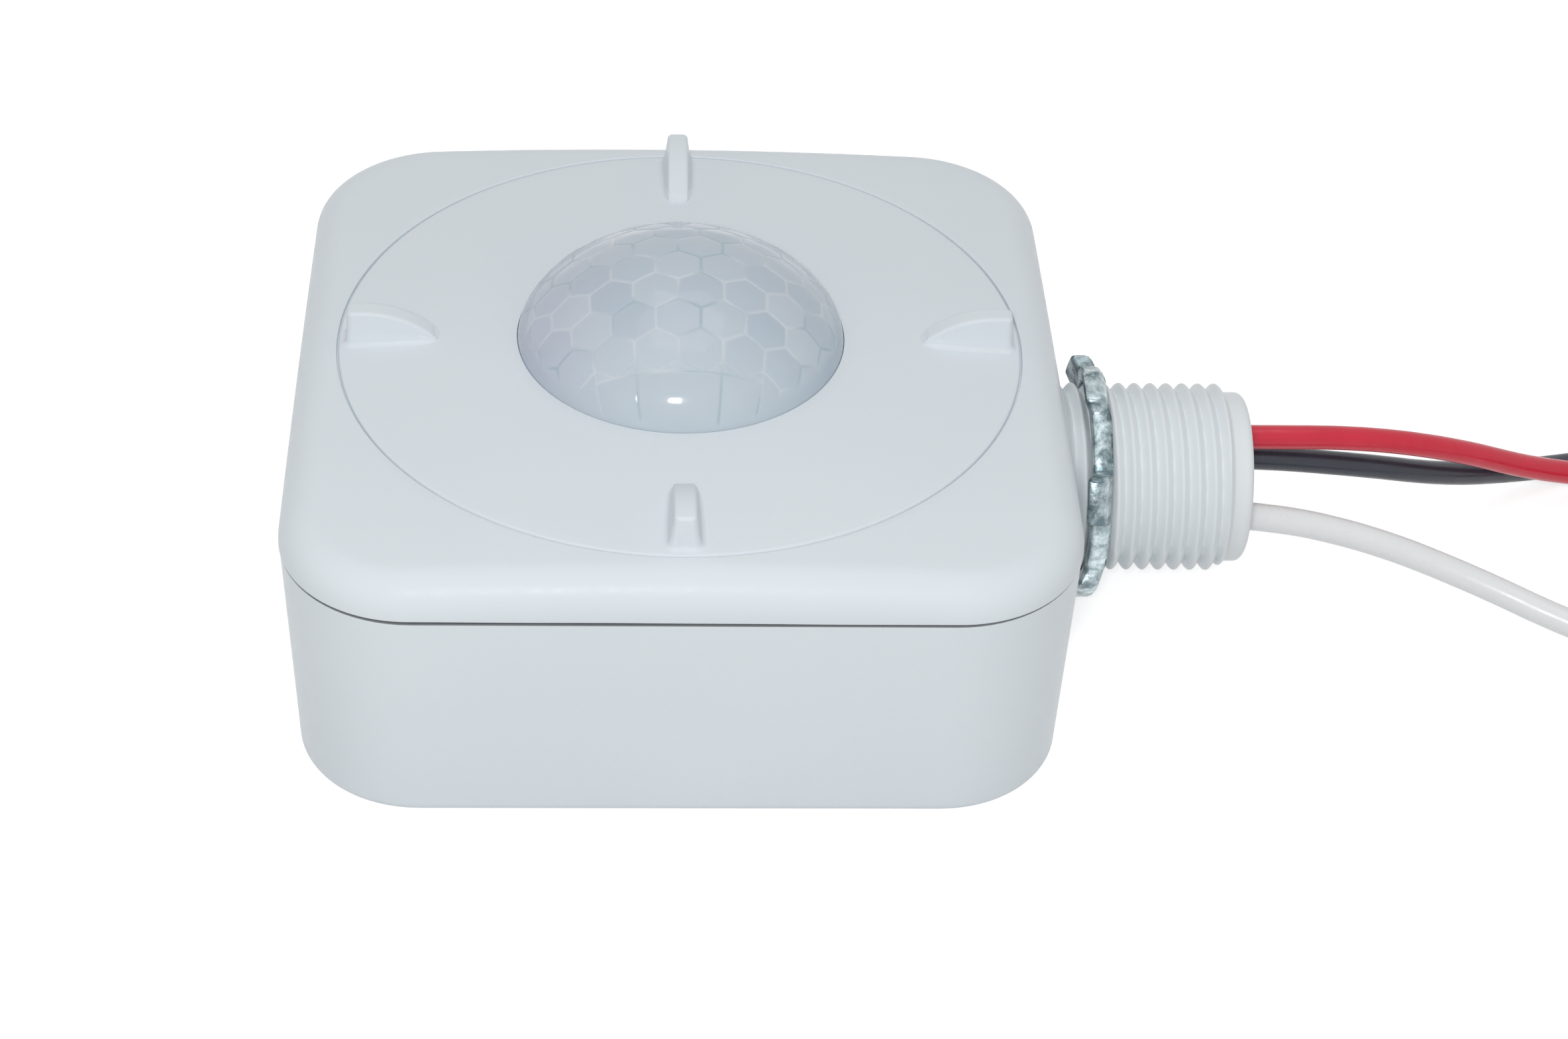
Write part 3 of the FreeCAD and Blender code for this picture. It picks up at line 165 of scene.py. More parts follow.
class Tree:
    """A short way to write a material's nodes round one Principled shader."""

    def __init__(self, name):
        self.material = bpy.data.materials.new(name)
        self.material.use_nodes = True
        self.nodes = self.material.node_tree.nodes
        self.links = self.material.node_tree.links
        self.shader = self.nodes["Principled BSDF"]
        self.place = self.add("ShaderNodeTexCoord").outputs["Object"]

    def add(self, kind, **settings):
        node = self.nodes.new(kind)
        for key, value in settings.items():
            setattr(node, key, value)
        return node

    def put(self, socket, value):
        """Links a socket to another one, or sets its value."""
        if isinstance(value, bpy.types.NodeSocket):
            self.links.new(value, socket)
        else:
            socket.default_value = value

    def set(self, **values):
        """Sets the shader's sockets. An underscore in a name stands for a space."""
        for key, value in values.items():
            socket = self.shader.inputs[key.replace("_", " ")]
            if isinstance(value, tuple):
                value = (*value, 1.0)
            self.put(socket, value)

    def noise(self, size, detail=2.0, roughness=0.5, distortion=0.0):
        """Noise whose features are about size metres across, from 0 to 1."""
        node = self.add("ShaderNodeTexNoise")
        self.put(node.inputs["Vector"], self.place)
        self.put(node.inputs["Scale"], 1 / size)
        self.put(node.inputs["Detail"], detail)
        self.put(node.inputs["Roughness"], roughness)
        self.put(node.inputs["Distortion"], distortion)
        return node.outputs["Fac"]

    def cells(self, size, feature="F1"):
        """A texture of points scattered about size metres apart."""
        node = self.add("ShaderNodeTexVoronoi", feature=feature)
        self.put(node.inputs["Vector"], self.place)
        self.put(node.inputs["Scale"], 1 / size)
        return node

    def remap(self, value, low, high, to_low=0.0, to_high=1.0):
        """value mapped from one range to another, and held inside it."""
        node = self.add("ShaderNodeMapRange")
        for key, entry in zip(
            ("Value", "From Min", "From Max", "To Min", "To Max"),
            (value, low, high, to_low, to_high),
        ):
            self.put(node.inputs[key], entry)
        return node.outputs["Result"]

    def uneven(self, middle, size, detail, less, more):
        """A value that noise lowers and raises by up to less and more. size is in millimetres."""
        grain = self.noise(size * MM, detail)
        return self.remap(grain, 0.3, 0.7, middle - less, middle + more)

    def mix(self, share, first, second):
        """A colour between two: the first at a share of 0, and the second at 1."""
        node = self.add("ShaderNodeMix", data_type="RGBA")
        self.put(node.inputs["Factor"], share)
        for key, colour in (("A", first), ("B", second)):
            socket = [s for s in node.inputs if s.name == key and s.type == "RGBA"][0]
            self.put(socket, (*colour, 1.0) if isinstance(colour, tuple) else colour)
        return [s for s in node.outputs if s.type == "RGBA"][0]

    def math(self, operation, first, second=0.0):
        node = self.add("ShaderNodeMath", operation=operation)
        self.put(node.inputs[0], first)
        self.put(node.inputs[1], second)
        return node.outputs[0]

    def attribute(self, name):
        return self.add("ShaderNodeAttribute", attribute_name=name).outputs["Fac"]

    def axis(self, name):
        """One of the object's coordinates, in metres."""
        node = self.add("ShaderNodeSeparateXYZ")
        self.put(node.inputs[0], self.place)
        return node.outputs[name]

    def bump(self, height, depth, below=None):
        """Bump of a given depth in metres. below is the normal of a bump under this one."""
        node = self.add("ShaderNodeBump")
        self.put(node.inputs["Strength"], 1.0)
        self.put(node.inputs["Distance"], depth)
        self.put(node.inputs["Height"], height)
        if below is not None:
            self.put(node.inputs["Normal"], below)
        return node.outputs["Normal"]


# ---------------------------------------------------------------- materials

WHITE_SHELL = (0.755, 0.812, 0.848)
SHELL_SHADE = (0.720, 0.777, 0.818)
SPECK = (0.22, 0.20, 0.19)
SCUFF = (0.80, 0.83, 0.85)
# colour of the painted shade in the seam between cover and housing
SEAM_PAINTED_SHADE = (0.055, 0.055, 0.06)


def shell_plastic(name, base=WHITE_SHELL, shade=SHELL_SHADE, specks=True, seam=None):
    """Injection-moulded white plastic: fine spark texture, faint mottling and stray specks.

    Where a seam height in millimetres is given, painted shade darkens the wall's top fifth of a
    millimetre just below it, standing in for the seam's shadow.
    """
    tree = Tree(name)
    colour = tree.mix(tree.noise(26 * MM, 2), shade, base)
    if specks:
        spots = tree.cells(7.5 * MM).outputs["Distance"]
        stray = tree.remap(tree.noise(9 * MM, 0), 0.60, 0.66)
        spot = tree.remap(spots, 0.016, 0.028, 1.0, 0.0)
        colour = tree.mix(tree.math("MULTIPLY", spot, stray), colour, SPECK)
        scuff = tree.remap(tree.noise(2.2 * MM, 4, 0.7, 0.6), 0.70, 0.78)
        patch = tree.remap(tree.noise(15 * MM, 1), 0.58, 0.68)
        colour = tree.mix(tree.math("MULTIPLY", scuff, patch), colour, SCUFF)
    if seam is not None:
        # painted shade: the housing wall's top 0.2 mm under the seam is darkened as the gap's
        # shadow
        seam_shadow_paint = tree.remap(tree.axis("Z"), (seam - 0.22) * MM, (seam - 0.17) * MM)
        colour = tree.mix(tree.math("MULTIPLY", seam_shadow_paint, 0.8), colour, SEAM_PAINTED_SHADE)
    grain = tree.bump(tree.noise(0.34 * MM, 3, 0.65), 0.016 * MM)
    wave = tree.bump(tree.noise(11 * MM, 1), 0.030 * MM, grain)
    tree.set(
        Base_Color=colour,
        Roughness=tree.uneven(0.34, 1.1, 3, 0.06, 0.06),
        Specular_IOR_Level=0.10,
        Normal=wave,
    )
    return tree.material


def simple_plastic(name, colour, roughness=0.4, grain=0.25, depth=0.008):
    """Smooth moulded plastic, with a little mottling. Grain and depth are in millimetres."""
    tree = Tree(name)
    dark = tuple(0.86 * part for part in colour)
    tree.set(
        Base_Color=tree.mix(tree.noise(4 * MM, 3), dark, colour),
        Roughness=tree.uneven(roughness, 0.8, 2, 0.06, 0.06),
        Normal=tree.bump(tree.noise(grain * MM, 2), depth * MM),
    )
    return tree.material


def wire_plastic(name, colour, shade, roughness=0.27):
    """Extruded soft insulation: slight waviness and faint dust along it."""
    tree = Tree(name)
    tree.set(
        Base_Color=tree.mix(tree.noise(5 * MM, 3), shade, colour),
        Roughness=tree.uneven(roughness, 1.5, 3, 0.05, 0.09),
        Normal=tree.bump(tree.noise(1.2 * MM, 2), 0.02 * MM),
        Specular_IOR_Level=0.5,
    )
    return tree.material


def plated_metal(name, colour, tarnish, roughness=0.34, size=1.6):
    """Plated sheet metal with patchy brightness and a grainy surface. size is in millimetres."""
    tree = Tree(name)
    patch = tree.noise(size * MM, 4, 0.7, 0.3)
    grain = tree.noise(0.22 * MM, 3, 0.7)
    tree.set(
        Base_Color=tree.mix(tree.remap(patch, 0.38, 0.66), tarnish, colour),
        Metallic=1.0,
        Roughness=tree.remap(grain, 0.3, 0.7, roughness - 0.10, roughness + 0.12),
        Normal=tree.bump(grain, 0.016 * MM, tree.bump(patch, 0.03 * MM)),
    )
    return tree.material


LENS_DARK = (0.470, 0.545, 0.620)
LENS_PALE = (0.535, 0.600, 0.665)
# colours of painted light on the lens: a violet cast at its left and a paler front
LENS_LEFT_LIGHT_PAINT = (0.55, 0.56, 0.67)
LENS_FRONT_LIGHT_PAINT = (0.60, 0.665, 0.71)
BORDER_DARK = (0.30, 0.43, 0.49)
BORDER_PALE = (0.70, 0.73, 0.76)


def lens_material():
    """Milky moulded polyethylene. Facet borders and each facet's own tint come with the mesh."""
    tree = Tree("milky_lens")
    border = tree.attribute("border")
    shade = tree.mix(tree.attribute("tint"), LENS_DARK, LENS_PALE)
    # painted light: the lens turns violet towards its left and paler towards its front, the way
    # light falls on it
    left_light = tree.remap(tree.axis("X"), -17 * MM, -5 * MM, 1.0, 0.0)
    shade = tree.mix(tree.math("MULTIPLY", left_light, 0.45), shade, LENS_LEFT_LIGHT_PAINT)
    front_light = tree.remap(tree.axis("Y"), -17 * MM, -8 * MM, 1.0, 0.0)
    shade = tree.mix(tree.math("MULTIPLY", front_light, 0.6), shade, LENS_FRONT_LIGHT_PAINT)
    lift = tree.remap(tree.noise(7 * MM, 1), 0.42, 0.56)
    line = tree.mix(lift, BORDER_DARK, BORDER_PALE)
    tree.set(
        Base_Color=tree.mix(tree.math("MULTIPLY", border, 0.50), shade, line),
        Roughness=0.11,
        Specular_IOR_Level=0.30,
        Subsurface_Weight=0.25,
        Subsurface_Scale=0.8 * MM,
        Normal=tree.bump(tree.noise(0.5 * MM, 2), 0.005 * MM),
    )
    tree.shader.inputs["Subsurface Radius"].default_value = (1.0, 1.0, 1.0)
    return tree.material


def board_material():
    """Green solder mask over glass cloth, with paler tracks under it."""
    tree = Tree("solder_mask")
    tracks = tree.cells(5 * MM, "DISTANCE_TO_EDGE").outputs["Distance"]
    track = tree.remap(tracks, 0.05, 0.09, 1.0, 0.0)
    tree.set(
        Base_Color=tree.mix(track, (0.012, 0.13, 0.045), (0.03, 0.26, 0.09)),
        Roughness=0.3,
        Normal=tree.bump(track, 0.03 * MM),
    )
    return tree.material


shell = shell_plastic("shell_plastic")
# the housing's plastic, with painted shade just under the seam
housing_shell = shell_plastic("housing_plastic", seam=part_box("rear_housing")[1].z / MM)
nipple_plastic = shell_plastic(
    "nipple_plastic", (0.81, 0.85, 0.87), (0.78, 0.82, 0.845), specks=False
)
lens_plastic = lens_material()
zinc = plated_metal("zinc_plate", (0.66, 0.76, 0.78), (0.13, 0.18, 0.20), 0.30, 2.6)
steel = plated_metal("screw_steel", (0.62, 0.62, 0.60), (0.40, 0.40, 0.39), 0.36)
tin = plated_metal("tinned_copper", (0.74, 0.70, 0.64), (0.55, 0.48, 0.42), 0.3)
WIRES = {
    "red": wire_plastic("red_insulation", (0.70, 0.016, 0.050), (0.58, 0.011, 0.036)),
    "black": wire_plastic("black_insulation", (0.042, 0.050, 0.070), (0.026, 0.031, 0.046)),
    "white": wire_plastic("white_insulation", (0.83, 0.85, 0.855), (0.79, 0.81, 0.82)),
}
for colour, lead in leads.items():
    lead.data.materials.append(WIRES[colour])


# ---------------------------------------------------------------- mesh helpers


def loft(loops, closed=False):
    """Points and faces of a skin over loops that have equally many points each."""
    count = len(loops[0])
    faces = []
    last = len(loops) if closed else len(loops) - 1
    for low in range(last):
        high = (low + 1) % len(loops)
        for i in range(count):
            j = (i + 1) % count
            faces.append(
                (low * count + i, low * count + j, high * count + j, high * count + i)
            )
    return np.concatenate(loops), faces


def capped(loops):
    """A loft whose first and last loops are closed by a face each."""
    points, faces = loft(loops)
    count = len(loops[0])
    faces.append(tuple(range(count)))
    faces.append(tuple(range(len(points) - count, len(points))))
    return points, faces


def joined(parts):
    """Several (points, faces) pairs as one."""
    points, faces, start = [], [], 0
    for some, theirs in parts:
        points.append(np.asarray(some, float))
        faces += [tuple(start + i for i in face) for face in theirs]
        start += len(some)
    return np.concatenate(points), faces


def moved(part, place=(0, 0, 0), turn=0.0):
    """A (points, faces) pair turned about Z by an angle in degrees, then moved."""
    points, faces = part
    angle = math.radians(turn)
    spin = np.array(
        [[math.cos(angle), -math.sin(angle), 0], [math.sin(angle), math.cos(angle), 0], [0, 0, 1]]
    )
    return np.asarray(points, float) @ spin.T + np.array(place, float), faces


def make_piece(name, part, body, material, replaced, sharp=35, weld=True):
    """An object from points in millimetres, smooth except at edges sharper than an angle."""
    points, faces = part
    mesh = bpy.data.meshes.new(name)
    mesh.from_pydata((np.asarray(points) * MM).tolist(), [], faces)
    work = bmesh.new()
    work.from_mesh(mesh)
    if weld:
        bmesh.ops.remove_doubles(work, verts=work.verts, dist=0.5e-6)
        bmesh.ops.dissolve_degenerate(work, edges=work.edges, dist=0.5e-6)
    bmesh.ops.recalc_face_normals(work, faces=work.faces)
    work.to_mesh(mesh)
    work.free()
    mesh.polygons.foreach_set("use_smooth", [True] * len(mesh.polygons))
    mesh.set_sharp_from_angle(angle=math.radians(sharp))
    piece = bpy.data.objects.new(name, mesh)
    bpy.context.scene.collection.objects.link(piece)
    mesh.materials.append(material)
    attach(piece, body)
    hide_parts(*replaced)
    return piece


ROUND = 288


def circle_loop(radius, height, count=ROUND):
    """A circle about Z. Radius and height may be one number or one for each point."""
    angle = np.arange(count) * math.tau / count
    radius = np.broadcast_to(radius, count)
    height = np.broadcast_to(height, count)
    return np.stack([radius * np.cos(angle), radius * np.sin(angle), height], 1)


def ring_section(section, count=ROUND, closed=True):
    """A solid of revolution about Z from (radius, height) pairs."""
    return loft([circle_loop(radius, height, count) for radius, height in section], closed)


def rod(radius, low, high, place=(0, 0), count=32):
    """An upright round bar."""
    bar = capped([circle_loop(radius, low, count), circle_loop(radius, high, count)])
    return moved(bar, (*place, 0))


def box(low, high):
    """A plain block between two corners."""
    loops = []
    for z in (low[2], high[2]):
        corners = [(low[0], low[1]), (high[0], low[1]), (high[0], high[1]), (low[0], high[1])]
        loops.append(np.array([(x, y, z) for x, y in corners], float))
    return capped(loops)


def quarter(count):
    """Sines and cosines of a quarter turn, from 0 to 90 degrees."""
    angle = np.linspace(0, math.pi / 2, count)
    return zip(np.sin(angle), np.cos(angle))


# ---------------------------------------------------------------- front cover

HALF_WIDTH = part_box("front_cover")[1].x / MM
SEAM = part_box("rear_housing")[1].z / MM
CORNER_RADIUS = 14.2
SEAM_GAP = 0.15
CROWN_HEIGHT = SEAM + 6.4
CROWN_RADIUS = 640.0
CROWN_CENTRE = CROWN_HEIGHT - CROWN_RADIUS
EDGE_RADIUS = 4.2
SIDE_TRIM = 0.2
COVER_BASE = SEAM + SEAM_GAP
COVER_WALL = 2.0
LOWER_EDGE = 0.08
COVER_UNDERSIDE = CROWN_HEIGHT - 4.1
LEDGE_TOP = CROWN_HEIGHT - 2.9
RING_RADIUS = 37.3
RING_GAP = 0.3
RECESS_RADIUS = RING_RADIUS + 0.18
RECESS_EDGE = 0.14
OPENING_RADIUS = RING_RADIUS - 4.8
CORNER_STEPS = 30
SIDE_STEPS = 30


def crown(radius):
    """The height of the crowned front surface at a distance from the axis."""
    return CROWN_CENTRE + np.sqrt(CROWN_RADIUS**2 - np.asarray(radius, float) ** 2)


def square_loop(inset, height):
    """A rounded square, inset from the cover's outline, with the same steps at every inset."""
    half = HALF_WIDTH - inset
    radius = CORNER_RADIUS - inset
    points = []
    for side in range(4):
        start = side * math.pi / 2
        spin = np.array([[math.cos(start), -math.sin(start)], [math.sin(start), math.cos(start)]])
        for step in range(SIDE_STEPS):
            y = (half - radius) * (2 * step / SIDE_STEPS - 1)
            points.append(spin @ (half, y))
        for step in range(CORNER_STEPS):
            angle = step / CORNER_STEPS * math.pi / 2
            corner = (half - radius) + radius * np.array([math.cos(angle), math.sin(angle)])
            points.append(spin @ corner)
    height = np.broadcast_to(height, len(points))
    return np.column_stack([np.array(points), height])


def cover_edge():
    """Loops over the cover's rounded edge, from its side up to the crown."""
    outer = square_loop(SIDE_TRIM, 0)[:, :2]
    inner = square_loop(SIDE_TRIM + EDGE_RADIUS, 0)[:, :2]
    outward = (outer - inner) / np.linalg.norm(outer - inner, axis=1)[:, None]
    reach = CROWN_RADIUS - EDGE_RADIUS
    rise = np.sqrt(reach**2 - (inner**2).sum(1))
    centre = np.column_stack([inner, CROWN_CENTRE + rise])
    side = np.column_stack([outward, np.zeros(len(outward))])
    top = np.column_stack([inner, rise]) / reach
    between = np.arccos((side * top).sum(1))
    loops = []
    for share in np.linspace(0, 1, 15):
        direction = (
            np.sin((1 - share) * between)[:, None] * side + np.sin(share * between)[:, None] * top
        ) / np.sin(between)[:, None]
        loops.append(centre + EDGE_RADIUS * direction)
    return loops


def at_same_bearing(loop, radius, height):
    """A circle whose points lie at the same bearings as a loop's points."""
    bearing = np.arctan2(loop[:, 1], loop[:, 0])
    height = np.broadcast_to(height, len(loop))
    return np.column_stack([radius * np.cos(bearing), radius * np.sin(bearing), height])


def seam_unevenness(loop):
    """How far the cover's lower edge stands off: most at the front left, least at the right."""
    bearing = np.arctan2(loop[:, 1], loop[:, 0])
    ripple = 0.016 * np.sin(7 * bearing + 0.6) + 0.010 * np.sin(17 * bearing)
    return 0.09 * np.cos(bearing - math.radians(212)) + ripple


def front_cover():
    """The cover's shell, as one skin from the recess round its outside and back inside it."""
    edge = cover_edge()
    brim = edge[-1]
    base = COVER_BASE + seam_unevenness(edge[0])
    loops = [at_same_bearing(brim, RECESS_RADIUS, LEDGE_TOP)]
    lip = RECESS_RADIUS + RECESS_EDGE
    for sine, cosine in quarter(5):
        radius = lip - RECESS_EDGE * cosine
        loops.append(at_same_bearing(brim, radius, crown(lip) - RECESS_EDGE * (1 - sine)))
    rim = loops[-1]
    for share in np.linspace(0, 1, 12)[1:-1]:
        flat = rim[:, :2] * (1 - share) + brim[:, :2] * share
        loops.append(np.column_stack([flat, crown(np.hypot(flat[:, 0], flat[:, 1]))]))
    loops += edge[::-1]
    for sine, cosine in quarter(5):
        inset = SIDE_TRIM + LOWER_EDGE * (1 - cosine)
        loops.append(square_loop(inset, base + LOWER_EDGE * (1 - sine)))
    loops.append(square_loop(COVER_WALL, base))
    loops.append(square_loop(COVER_WALL, COVER_UNDERSIDE))
    loops.append(at_same_bearing(brim, OPENING_RADIUS, COVER_UNDERSIDE))
    loops.append(at_same_bearing(brim, OPENING_RADIUS, LEDGE_TOP))
    return joined([loft(loops, closed=True)] + cover_fittings())


LIP_CLEARANCE = 0.45
LIP_INSET = COVER_WALL + LIP_CLEARANCE
LIP_THICKNESS = 1.2
LIP_LOW = SEAM - 1.8
POST_SPACING = 57.9
POST_RADIUS = 3.0
POST_LOW = COVER_UNDERSIDE - 9.2
HOOK_SPACING = 37.4
HOOK_WIDTH = 6.0
HOOK_FACE = HALF_WIDTH - 2.75
HOOK_THICKNESS = 1.3
HOOK_LOW = SEAM - 6.5
BARB_HEIGHT = 1.6
BARB_REACH = 0.7
JOIN_OVERLAP = 0.4


def cover_fittings():
    """The lip, board posts and snap hooks on the cover's underside."""
    top = COVER_UNDERSIDE + JOIN_OVERLAP
    inner = LIP_INSET + LIP_THICKNESS
    lip = [
        square_loop(LIP_INSET, LIP_LOW),
        square_loop(LIP_INSET, top),
        square_loop(inner, top),
        square_loop(inner, LIP_LOW),
    ]
    parts = [loft(lip, closed=True)]
    for x in (-POST_SPACING / 2, POST_SPACING / 2):
        for y in (-POST_SPACING / 2, POST_SPACING / 2):
            parts.append(rod(POST_RADIUS, POST_LOW, top, (x, y)))
    for side in (0, 180):
        for across in (-HOOK_SPACING / 2, HOOK_SPACING / 2):
            left, right = across - HOOK_WIDTH / 2, across + HOOK_WIDTH / 2
            back = HOOK_FACE - HOOK_THICKNESS
            arm = box((left, back, HOOK_LOW), (right, HOOK_FACE, top))
            tip = HOOK_FACE + BARB_REACH
            barb = box((left, back, HOOK_LOW), (right, tip, HOOK_LOW + BARB_HEIGHT))
            parts += [moved(arm, turn=side), moved(barb, turn=side)]
    return parts


make_piece("cover_shell", front_cover(), "housing", shell, ["front_cover"])


# ---------------------------------------------------------------- twist ring

RING_LOW = LEDGE_TOP + RING_GAP
RING_EDGE = 0.34
GAP_DEPTH = 0.45
GAP_FLOOR = RECESS_RADIUS - 0.02
SKIRT_FACE = OPENING_RADIUS - RING_GAP
SKIRT_THICKNESS = 1.6
LUG_TOP = COVER_UNDERSIDE - RING_GAP
LUG_LOW = LUG_TOP - 1.0
LUG_REACH = OPENING_RADIUS + 1.5
LUG_HALF_ANGLE = 8.0
LUG_BEARING = 45.0
STAKE_RADIUS = 0.8
STAKE_LENGTH = 1.5
STAKE_ROOT = 0.4
STAKE_PLACE = 21.8
LENS_RADIUS = 18.0
MOUTH_RADIUS = LENS_RADIUS + 0.02
MOUTH_LIP = LENS_RADIUS - 0.10
MOUTH_DROP = 0.75
MOUTH_EDGE = 0.06
FLANGE_SIDE = 20.1
FLANGE_TOP = RING_LOW + 0.85
FIN_OUTER = RING_RADIUS - 1.05
FIN_LENGTH = 9.8
FIN_HEIGHT = 3.9
FIN_TOE = 0.2
FIN_FLAT = 1.0
FIN_CURVE = 12.2
FIN_HALF_WIDTH = 1.12
FIN_DRAFT = 0.14
FIN_FOOT = 0.7
FIN_EDGE = 0.40
FIN_CORNER = 0.62


def fin_top(reach):
    """A fin's height at a distance in from its outer end: nearly flat, then an arc to its toe."""
    slack = np.clip(reach - FIN_FLAT, 0, None)
    arc = FIN_HEIGHT - FIN_CURVE + np.sqrt(FIN_CURVE**2 - slack**2)
    return np.maximum(arc, FIN_TOE)


FIN_CORNER_POINTS = 9
# steps along a fin's side, and across its end
FIN_STEPS = (36, 4)


def plan_loop():
    """Points round a fin's top, a rounded rectangle about its middle, with outward directions."""
    half_length, half_width = FIN_LENGTH / 2 - FIN_CORNER, FIN_HALF_WIDTH - FIN_CORNER
    centres = [
        np.array([sx * half_length, sy * half_width])
        for sx, sy in ((1, 1), (-1, 1), (-1, -1), (1, -1))
    ]
    points, outward = [], []
    for index, centre in enumerate(centres):
        for step in range(FIN_CORNER_POINTS):
            angle = math.radians(90 * index + 90 * step / (FIN_CORNER_POINTS - 1))
            direction = np.array([math.cos(angle), math.sin(angle)])
            points.append(centre + FIN_CORNER * direction)
            outward.append(direction)
        first, last = points[-1], centres[(index + 1) % 4] + FIN_CORNER * direction
        steps = FIN_STEPS[index % 2]
        for step in range(1, steps):
            points.append(first + (last - first) * step / steps)
            outward.append(direction)
    return np.array(points), np.array(outward)


def grip_fin():
    """One fin along +X: drafted walls between a rounded top edge and a hollow foot."""
    plan, outward = plan_loop()
    height = fin_top(np.clip(FIN_LENGTH / 2 - plan[:, 0], 0, FIN_LENGTH))
    edge = np.minimum(FIN_EDGE, 0.45 * height)
    foot = np.minimum(FIN_FOOT, 0.45 * height)
    sides = np.abs(outward[:, 1])
    draft = FIN_DRAFT * sides + 0.03 * (1 - sides)
    loops = []

    def add(spread, rise):
        """Adds a loop spread out from the plan, at a height above the crown."""
        flat = plan + outward * spread[:, None]
        x = FIN_OUTER - FIN_LENGTH / 2 + flat[:, 0]
        loops.append(np.column_stack([x, flat[:, 1], crown(np.hypot(x, flat[:, 1])) + rise]))

    add(draft * height + foot, np.full(len(plan), -0.6))
    for sine, cosine in quarter(8):
        add(draft * height + foot * (1 - sine), foot * (1 - cosine) - 0.02)
    for share in np.linspace(0, 1, 8)[1:-1]:
        rise = foot + (height - edge - foot) * share
        add(draft * (height - rise), rise)
    for sine, cosine in quarter(7):
        add(draft * edge - edge * (1 - cosine), height - edge * (1 - sine))
    # the top closes on the fin's middle line, where the two sides' points meet
    brim = loops[-1]
    for share in (0.35, 0.7, 1.0):
        loops.append(brim * np.array([1, 1 - share, 1]))
    points, faces = loft(loops)
    faces.append(tuple(range(len(plan))))
    return points, faces


def sector_block(inner, outer, low, high, middle, half_angle, steps=8):
    """A block between two radii, round a bearing in degrees."""
    bearings = np.radians(np.linspace(middle - half_angle, middle + half_angle, steps + 1))
    outline = [(outer * math.cos(a), outer * math.sin(a)) for a in bearings]
    outline += [(inner * math.cos(a), inner * math.sin(a)) for a in bearings[::-1]]
    loops = [np.array([(x, y, z) for x, y in outline]) for z in (low, high)]
    return capped(loops)


def twist_ring():
    """The disc with its mouth, skirt, bayonet lugs, fins and the stakes that hold the lens."""
    edge = RING_RADIUS - RING_EDGE
    shelf = crown(RING_RADIUS) - GAP_DEPTH
    section = [(GAP_FLOOR, RING_LOW), (GAP_FLOOR, shelf), (RING_RADIUS, shelf)]
    for sine, cosine in list(quarter(6))[::-1]:
        section.append((edge + RING_EDGE * sine, crown(edge) - RING_EDGE * (1 - cosine)))
    inner = MOUTH_LIP + MOUTH_EDGE
    section += [(radius, crown(radius)) for radius in np.linspace(edge, inner, 16)[1:-1]]
    for sine, cosine in quarter(6):
        section.append((inner - MOUTH_EDGE * sine, crown(inner) - MOUTH_EDGE * (1 - cosine)))
    section += [
        (MOUTH_RADIUS, crown(inner) - MOUTH_DROP),
        (MOUTH_RADIUS, FLANGE_TOP),
        (FLANGE_SIDE, FLANGE_TOP),
        (FLANGE_SIDE, RING_LOW),
        (SKIRT_FACE - SKIRT_THICKNESS, RING_LOW),
        (SKIRT_FACE - SKIRT_THICKNESS, LUG_LOW),
        (SKIRT_FACE, LUG_LOW),
        (SKIRT_FACE, RING_LOW),
    ]
    parts = [ring_section(section)]
    for quarter_turn in range(4):
        bearing = 90 * quarter_turn
        parts.append(moved(grip_fin(), turn=bearing))
        root = SKIRT_FACE - SKIRT_THICKNESS / 2
        middle = LUG_BEARING + bearing
        parts.append(sector_block(root, LUG_REACH, LUG_LOW, LUG_TOP, middle, LUG_HALF_ANGLE))
        stake = rod(STAKE_RADIUS, RING_LOW - STAKE_LENGTH, RING_LOW + STAKE_ROOT, (STAKE_PLACE, 0))
        parts.append(moved(stake, turn=bearing))
    return joined(parts)


make_piece("twist_ring", twist_ring(), "lens_ring", shell, ["lens_ring"])


# ---------------------------------------------------------------- faceted lens

CAP_RADIUS = 22.6
SHOULDER_RADIUS = 7.7
SHOULDER_HEIGHT = RING_LOW + 0.8
SHOULDER_REACH = LENS_RADIUS - SHOULDER_RADIUS
CAP_RISE = math.sqrt((CAP_RADIUS - SHOULDER_RADIUS) ** 2 - SHOULDER_REACH**2)
CAP_CENTRE = SHOULDER_HEIGHT - CAP_RISE
CAP_ANGLE = math.atan2(SHOULDER_REACH, CAP_RISE)
CAP_SPAN = CAP_RADIUS * CAP_ANGLE
DOME_SPAN = CAP_SPAN + SHOULDER_RADIUS * (math.pi / 2 - CAP_ANGLE)
LENS_THICKNESS = 0.8
LENS_FLANGE = 19.9
FACET_WIDTH = 4.94
FACET_ROW = 3.85
PATTERN_X = -0.50
PATTERN_Y = -8.85
FLAT_ROW = -15.2
GROOVE_DEPTH = 0.055
GROOVE_WIDTH = 0.15
FACET_BULGE = 0.085
FACET_FADE = (19.2, 20.4)
BOX_FADE = (20.8, 21.6)
BULGE_WIDTH = 2.2
LENS_AROUND = 840
LENS_RINGS = 190
LENS_INNER_RINGS = 24
LENS_INNER_END = 0.6


def dome_point(span, bearing, inset=0.0):
    """Points on the dome at arc lengths from its top and bearings, moved in by a depth."""
    on_cap = span < CAP_SPAN
    polar = np.where(on_cap, span / CAP_RADIUS, CAP_ANGLE + (span - CAP_SPAN) / SHOULDER_RADIUS)
    radius = np.where(on_cap, CAP_RADIUS, SHOULDER_RADIUS) - inset
    flat = np.where(on_cap, 0, SHOULDER_REACH) + radius * np.sin(polar)
    height = np.where(on_cap, CAP_CENTRE, SHOULDER_HEIGHT) + radius * np.cos(polar)
    return np.stack([flat * np.cos(bearing), flat * np.sin(bearing), height], -1)


def smooth_step(value, low, high):
    """0 below a range, 1 above it, and a smooth rise between."""
    share = np.clip((value - low) / (high - low), 0, 1)
    return share * share * (3 - 2 * share)


